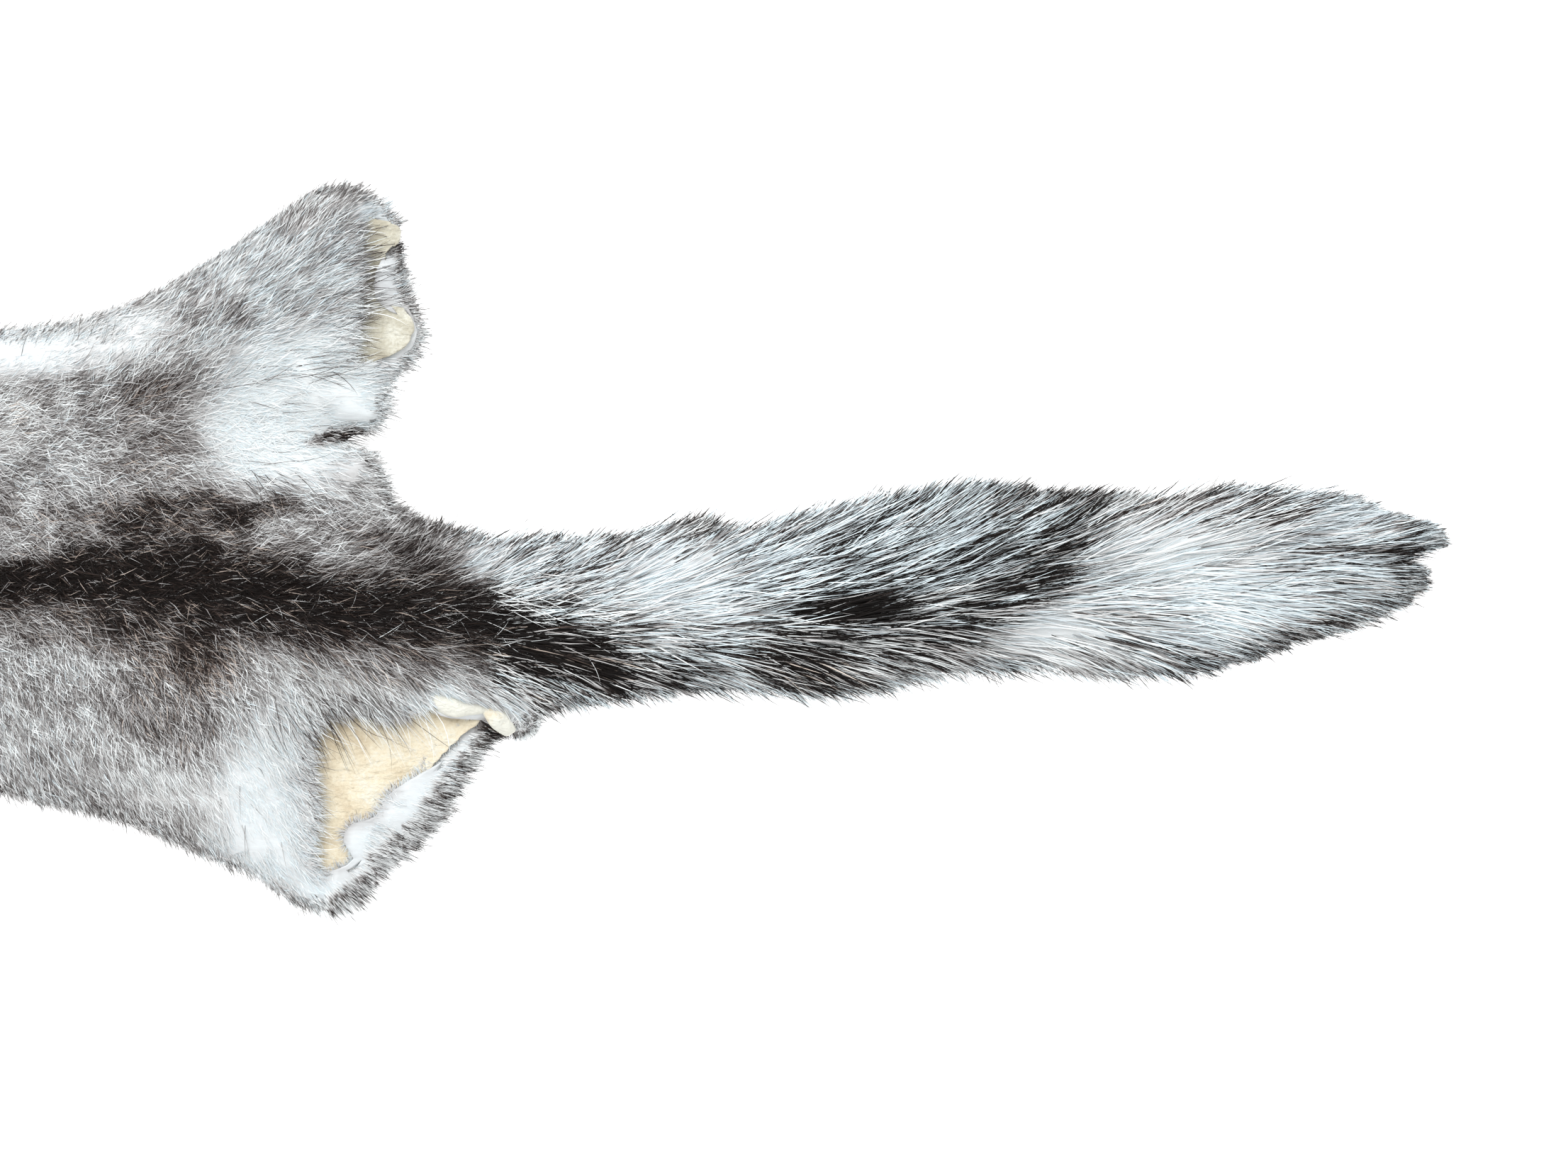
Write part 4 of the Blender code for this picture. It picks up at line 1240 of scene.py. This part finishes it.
class PELT_OT_rim_fur(bpy.types.Operator):
    """Fringe round the rim, from the belly's fur upwards"""

    bl_idname = "pelt.rim_fur"
    bl_label = "Fringe"

    def execute(self, context):
        settings, plan, rng = begin(context, step=3)
        self.add_rim(settings, plan, rng)
        self.add_belly(settings, plan, rng)
        return {"FINISHED"}

    def add_rim(self, settings, plan, rng):
        """Strands from the belly upwards all round the rim, longer past it in front."""
        rim = rim_points(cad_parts[NODE].data)
        rim = rim[rng.random(len(rim)) < np.where(rim[:, 0] > HIND_START, 1.0, 0.5)]
        rim = rim[~past_leather(rim) | (rng.random(len(rim)) < 0.3)]
        roots = rim[rng.integers(0, len(rim), STRANDS["rim_fringe"])]
        outward = -plan.inward(roots)
        front = roots[:, 0] < HIND_START
        inset = rng.uniform(0.0, np.where(front | (rng.random(len(roots)) < 0.4), 1.2, 3.5))
        roots = plan.drawn_in(roots, 0.5) - outward * inset[:, None]
        way = ways(heading_at(roots)) + np.where(front, 0.7, 0.3)[:, None] * outward
        middle, own = in_tufts(roots, cell=2.0, seed=51)
        heading = np.arctan2(way[:, 1], way[:, 0]) + 0.1 * own[:, 0] + rng.normal(0, 0.12, len(roots))
        length = 0.35 * length_at(roots) + rng.uniform(1.5, 4.5, len(roots))
        past = np.minimum(0.2 + 1.2 * front + rng.exponential(0.9, len(roots)), OVERHANG_MOST)
        length = reach_limited(rng, roots, heading, length, plan, past)
        fur = coated(roots, heading, length, middle, own)
        fur["dark"] = dark_rim_at(roots + ways(heading) * length[:, None], plan)
        level = rng.uniform(0.15, 1.0, len(roots)) * plan.heights(roots)
        shades = edge_shades(rng, fur, lighter=0.2, stray=0.08)
        width = np.where(front, 0.8 * settings.fur.front_width, settings.fur.guard_width)
        width = width * rng.uniform(0.6, 1.1, len(roots))
        strands("rim_fringe", plan, rng, fur, width, shades, lift=(0.0, 0.08), segments=2, tuft=0.3,
                level=level)

    def add_belly(self, settings, plan, rng):
        """Dark-tipped strands on the strip past the leather of the left foot."""
        roots = rng.uniform(*STRIP_BOX, (STRIP_TRIALS, 2))
        roots = roots[past_leather(roots) & (plan.depths(roots) > 0.5) & ~bare_at(roots)]
        middle, own = in_tufts(roots, cell=1.5, seed=52)
        heading = heading_at(roots) + 0.1 * own[:, 0] + rng.normal(0, 0.09, len(roots))
        length = rng.uniform(4.5, 7.5, len(roots))
        past = 0.3 + rng.exponential(1.3, len(roots))
        length = reach_limited(rng, roots, heading, length, plan, past, ANY_LENGTH)
        keep = plan.depths(roots + ways(heading) * length[:, None]) < 0.8
        fur = coated(roots, heading, length, middle, own)
        fur["dark"] = np.clip(0.6 + 0.6 * own[:, 2], 0.15, 0.95)
        fur = {key: value[keep][:STRANDS["belly_fringe"]] for key, value in fur.items()}
        count = len(fur["roots"])
        band = np.where(rng.random(count) < fur["dark"], DARK_TIPPED, PLAIN)
        width = settings.fur.guard_width * rng.uniform(0.8, 1.3, count)
        shades = np.full(count, 0.95), band
        strands("belly_fringe", plan, rng, fur, width, shades, lift=(0.02, 0.14), segments=3, tuft=0.2,
                bend=0.12)


class PELT_OT_edge_fur(bpy.types.Operator):
    """Short fur that hangs over the edges of the bare leather, and the ball of fur past the folded edge"""

    bl_idname = "pelt.edge_fur"
    bl_label = "Fur at the leather"

    def execute(self, context):
        settings, plan, rng = begin(context, step=5)
        edge = np.concatenate([smooth_closed(corners, 24) for corners in (LEFT_WINDOW, RIGHT_WINDOW)])
        roots = edge[rng.integers(0, len(edge), EDGE_STRANDS)]
        onto = plan.onto_leather(roots)
        roots = roots - onto * rng.uniform(0.2, 2.6, EDGE_STRANDS)[:, None]
        roots = roots + rng.normal(0, 0.3, (EDGE_STRANDS, 2))
        lie = ways(heading_at(roots))
        from_back = (lie * onto).sum(1) > -0.1
        way = np.where(from_back[:, None], lie + 0.7 * onto, onto + 0.3 * lie)
        heading = np.arctan2(way[:, 1], way[:, 0]) + rng.normal(0, 0.2, EDGE_STRANDS)
        long = rng.uniform(2.0, 5.0, EDGE_STRANDS)
        length = np.where(from_back, long, rng.uniform(1.2, 2.8, EDGE_STRANDS))
        length = length * np.where(roots[:, 1] > 30, 0.45, 1.0)
        keep = (plan.depths(roots) > 0.2) & ~bare_at(roots) & (from_back | (rng.random(EDGE_STRANDS) < 0.4))
        roots, heading, length = roots[keep], heading[keep], length[keep]
        length = reach_limited(rng, roots, heading, length, plan, np.full(len(roots), 0.8), ANY_LENGTH)

        laid = zip((roots, heading, length), self.ball(rng))
        roots, heading, length = (np.concatenate(pair) for pair in laid)
        fur = coated(roots, heading, length, *in_tufts(roots, cell=1.6, seed=81))
        fur["dark"] = np.where(np.arange(len(roots)) < len(roots) - BALL_STRANDS, 0.07, 0.7)
        width = settings.fur.guard_width * rng.uniform(0.8, 1.4, len(roots))
        shades = edge_shades(rng, fur, lighter=0.25, stray=0.05)
        strands("leather_edge_fur", plan, rng, fur, width, shades, lift=(0.1, 0.24), segments=2, tuft=0.25,
                bend=0.35)
        return {"FINISHED"}

    def ball(self, rng):
        """Roots, headings and lengths of the ball's strands."""
        spoke = ways(np.radians(rng.uniform(0, 360, BALL_STRANDS)))
        roots = BALL_RADIUS * 0.6 * np.sqrt(rng.random(BALL_STRANDS))[:, None] * spoke + BALL
        heading = np.radians(rng.uniform(*BALL_FAN, BALL_STRANDS))
        return roots, heading, rng.uniform(0.6, 1.05, BALL_STRANDS) * BALL_RADIUS


class PELT_OT_loose_hair(bpy.types.Operator):
    """Long single hairs that cross the leather and the white fur"""

    bl_idname = "pelt.loose_hair"
    bl_label = "Loose hairs"

    def execute(self, context):
        settings, plan, rng = begin(context, step=4)
        roots, heading, length, shade = [], [], [], []
        for row in LOOSE:
            tuft = dict(zip(LOOSE_COLUMNS, row))
            count = tuft["count"]
            spot = rng.normal(0, 1, (count, 2)) * (0.6 * tuft["along"], 0.6 * tuft["across"])
            spot += (tuft["behind"], tuft["right"])
            keep = (plan.depths(spot) > 0.5) & ~bare_at(spot)
            count = int(keep.sum())
            roots.append(spot[keep])
            heading.append(np.radians(rng.normal(tuft["heading"], tuft["spread"], count)))
            length.append(tuft["length"] * rng.uniform(0.7, 1.2, count))
            shade.append(np.clip(rng.normal(tuft["shade"], 0.06, count), 0.02, 1))
        roots, heading, length, shade = (np.concatenate(x) for x in (roots, heading, length, shade))
        past = rng.uniform(0.5, 4.5, len(roots))
        length = reach_limited(rng, roots, heading, length, plan, past, ANY_LENGTH)
        width = 0.9 * settings.fur.guard_width * rng.uniform(0.7, 1.1, len(roots))
        fur = {"roots": roots, "heading": heading, "length": length, "soft": np.zeros(len(roots))}
        shades = shade, np.full(len(roots), PLAIN)
        strands("loose_hairs", plan, rng, fur, width, shades, lift=(0.1, 0.2), segments=6, bend=0.5)
        return {"FINISHED"}


def trimmed_grid(outline, cell):
    """A flat grid drawn to a closed outline, in millimetres."""
    low, high = outline.min(0) - cell, outline.max(0) + cell
    counts = [int(math.ceil(s / cell)) for s in high - low]
    shape = bmesh.new()
    bmesh.ops.create_grid(shape, x_segments=counts[0], y_segments=counts[1], size=0.5)
    for v in shape.verts:
        v.co.x = low[0] + (v.co.x + 0.5) * (high[0] - low[0])
        v.co.y = low[1] + (v.co.y + 0.5) * (high[1] - low[1])
    shape.verts.index_update()
    places = np.array([v.co.xy for v in shape.verts])
    within = inside(outline, places)
    outer = [v for v in shape.verts if not within[v.index]]
    stray = [f for f in shape.faces if not any(within[v.index] for v in f.verts)]
    bmesh.ops.delete(shape, geom=stray, context="FACES")
    for v in outer:
        if v.is_valid:
            v.co.x, v.co.y = nearest(outline, np.array(v.co.xy))
    bmesh.ops.remove_doubles(shape, verts=shape.verts, dist=0.12 * cell)
    return shape


def smallest_box(outline):
    """Sides of the smallest box, at any turn, that holds a flat outline."""
    best = None
    for turn in np.radians(np.arange(0, 90, 3)):
        way = np.array([[math.cos(turn), -math.sin(turn)], [math.sin(turn), math.cos(turn)]])
        sides = np.ptp(outline @ way, axis=0)
        if best is None or sides.prod() < best.prod():
            best = sides
    return best


def grown(outline, by):
    """A closed outline moved outwards, clockwise or not."""
    following = np.roll(outline, -1, axis=0)
    run = unit(following - np.roll(outline, 1, axis=0), 1e-9)
    area = np.sum(outline[:, 0] * following[:, 1] - following[:, 0] * outline[:, 1])
    return outline + by * np.sign(area) * np.stack([run[:, 1], -run[:, 0]], axis=1)


class PELT_OT_leather(bpy.types.Operator):
    """Bare leather of the feet, and the curled edge of the back at the root of the tail"""

    bl_idname = "pelt.leather"
    bl_label = "Leather"

    def execute(self, context):
        look = context.scene.pelt.leather
        cream = leather_material("Cream leather", look.tan, look.cream, look.edge)
        dull = leather_material("Dull leather", look.hollow, look.dull, look.edge)
        ivory = leather_material("Ivory leather", look.edge, look.edge, look.edge)
        feet = (
            ("left_foot_leather", LEFT_WINDOW, cream, 1.0),
            ("right_foot_leather", RIGHT_WINDOW, dull, 0.3),
        )
        for name, corners, leather, tuck in feet:
            outline = grown(smooth_closed(corners, 10), tuck)
            outline = outline + 0.25 * sway(outline, 1.3, 61)
            shape = trimmed_grid(outline, LEATHER_CELL)
            points = np.array([v.co.xy for v in shape.verts])
            crinkle = 0.16 * soft_noise(points, 3.6, 63) + 0.1 * soft_noise(points, 1.4, 64)
            for v, rise in zip(shape.verts, crinkle):
                v.co.z = LEATHER_LEVEL + 0.2 + rise
            bmesh.ops.smooth_vert(shape, verts=shape.verts, factor=0.3, use_axis_z=True)
            to_frame(shape)
            area = sum(f.calc_area() for f in shape.faces)
            size = smallest_box(outline) * MM
            piece = self.add(name, shape, leather, look.thickness)
        self.add_curl("curled_edge", ROLL, ivory)
        self.add_curl("folded_edge", FOLD, leather_material("Pale leather", look.cream, look.edge, look.edge))
        return {"FINISHED"}

    def add(self, name, shape, material, thickness):
        """Makes an open shape a piece with a wall of this thickness, in millimetres."""
        mesh = finished(name, shape)
        mesh.shade_smooth()
        piece = linked(name, mesh)
        wall = piece.modifiers.new("wall", "SOLIDIFY")
        wall.thickness = thickness * MM
        wall.offset = 1.0
        return dress(piece, material)

    def add_curl(self, name, stations, material):
        """A curled edge: an arc swept along its stations."""
        shape = bmesh.new()
        arc = np.radians(np.linspace(-60, 190, 10))
        path = np.array([row[:2] for row in stations], float)
        rings = [
            [(behind + run[1] * radius * math.cos(a), right - run[0] * radius * math.cos(a),
              middle + 0.75 * radius * math.sin(a)) for a in arc]
            for (behind, right, radius, middle), run in zip(stations, unit(np.gradient(path, axis=0), 0))
        ]
        row = [shape.verts.new(spot) for spot in rings[0]]
        edges = [shape.edges.new(pair) for pair in zip(row[:-1], row[1:])]
        for ring in rings[1:]:
            made = bmesh.ops.extrude_edge_only(shape, edges=edges)["geom"]
            fresh = [g for g in made if isinstance(g, bmesh.types.BMVert)]
            row = [min(fresh, key=lambda v, p=p: (v.co - p.co).length) for p in row]
            for v, spot in zip(row, ring):
                v.co = spot
            edges = [shape.edges.get(pair) for pair in zip(row[:-1], row[1:])]
        bmesh.ops.subdivide_edges(shape, edges=shape.edges, cuts=2, use_grid_fill=True, smooth=0.6)
        places = np.array([v.co.xy for v in shape.verts])
        rise = 0.25 * soft_noise(places, 1.6, 71) + 0.16 * soft_noise(places, 0.8, 73)
        for v, up, aside in zip(shape.verts, rise, 0.3 * soft_noise(places, 2.2, 72)):
            v.co.z += up
            v.co.y += aside
        bmesh.ops.recalc_face_normals(shape, faces=shape.faces)
        to_frame(shape)
        self.add(name, shape, material, CURL_THICKNESS)


class PELT_OT_stage(bpy.types.Operator):
    """Pale floor, soft light and a camera that looks straight down"""

    bl_idname = "pelt.stage"
    bl_label = "Stage"

    def execute(self, context):
        stage = context.scene.pelt.stage
        scene = context.scene
        shape = bmesh.new()
        bmesh.ops.create_grid(shape, x_segments=1, y_segments=1, size=4.0)
        floor = linked("floor", finished("floor", shape))
        floor.location.z = -FLOOR_DROP
        material, _, shader = new_material("Pale floor", roughness=0.9, specular=0.1)
        shader.inputs["Base Color"].default_value = (*stage.floor, 1.0)
        shader.inputs["Emission Color"].default_value = (*stage.floor, 1.0)
        shader.inputs["Emission Strength"].default_value = stage.floor_glow
        floor.data.materials.append(material)

        scene.world = scene.world or bpy.data.worlds.new("World")
        scene.world.use_nodes = True
        sky = scene.world.node_tree.nodes["Background"]
        sky.inputs["Color"].default_value = (1.0, 1.0, 1.0, 1.0)
        sky.inputs["Strength"].default_value = stage.sky_strength
        sun = linked("sun", bpy.data.lights.new("sun", "SUN"))
        sun.data.energy = stage.sun_strength
        sun.data.angle = math.radians(SUN_SPREAD)
        sun.rotation_euler = [math.radians(angle) for angle in SUN_TILT]

        camera = linked("camera", bpy.data.cameras.new("camera"))
        camera.location = Vector(PICTURE_MIDDLE) + Vector((0, 0, stage.camera_height))
        camera.data.sensor_width = 36.0
        camera.data.lens = camera.data.sensor_width * stage.camera_height / stage.picture_width
        scene.camera = camera
        scene.view_settings.view_transform = "Standard"
        return {"FINISHED"}


class PELT_PT_panel(bpy.types.Panel):
    """Lists the steps that make the pelt"""

    bl_idname = "PELT_PT_panel"
    bl_label = "Mink Pelt"
    bl_space_type = "VIEW_3D"
    bl_region_type = "UI"
    bl_category = "Pelt"

    def draw(self, context):
        column = self.layout.column()
        for operator in OPERATORS:
            column.operator(operator.bl_idname)
        for group in ("fur", "colours", "leather", "stage"):
            box = self.layout.box()
            settings = getattr(context.scene.pelt, group)
            for name in settings.bl_rna.properties.keys():
                if name not in ("rna_type", "name"):
                    box.prop(settings, name)


OPERATORS = (
    PELT_OT_undercoat, PELT_OT_leather, PELT_OT_hind_fur, PELT_OT_tail_fur, PELT_OT_front_fur,
    PELT_OT_rim_fur, PELT_OT_edge_fur, PELT_OT_loose_hair, PELT_OT_stage,
)
GROUPS = (FurSettings, CoatColours, LeatherSettings, StageSettings, PeltSettings)


def register():
    for known in (*GROUPS, *OPERATORS, PELT_PT_panel):
        bpy.utils.register_class(known)
    bpy.types.Scene.pelt = PointerProperty(type=PeltSettings)


def unregister():
    del bpy.types.Scene.pelt
    for known in reversed((*GROUPS, *OPERATORS, PELT_PT_panel)):
        bpy.utils.unregister_class(known)


def main():
    register()
    bpy.ops.pelt.undercoat()
    bpy.ops.pelt.leather()
    bpy.ops.pelt.hind_fur()
    bpy.ops.pelt.tail_fur()
    bpy.ops.pelt.front_fur()
    bpy.ops.pelt.rim_fur()
    bpy.ops.pelt.edge_fur()
    bpy.ops.pelt.loose_hair()
    bpy.ops.pelt.stage()


if __name__ == "__main__":
    main()
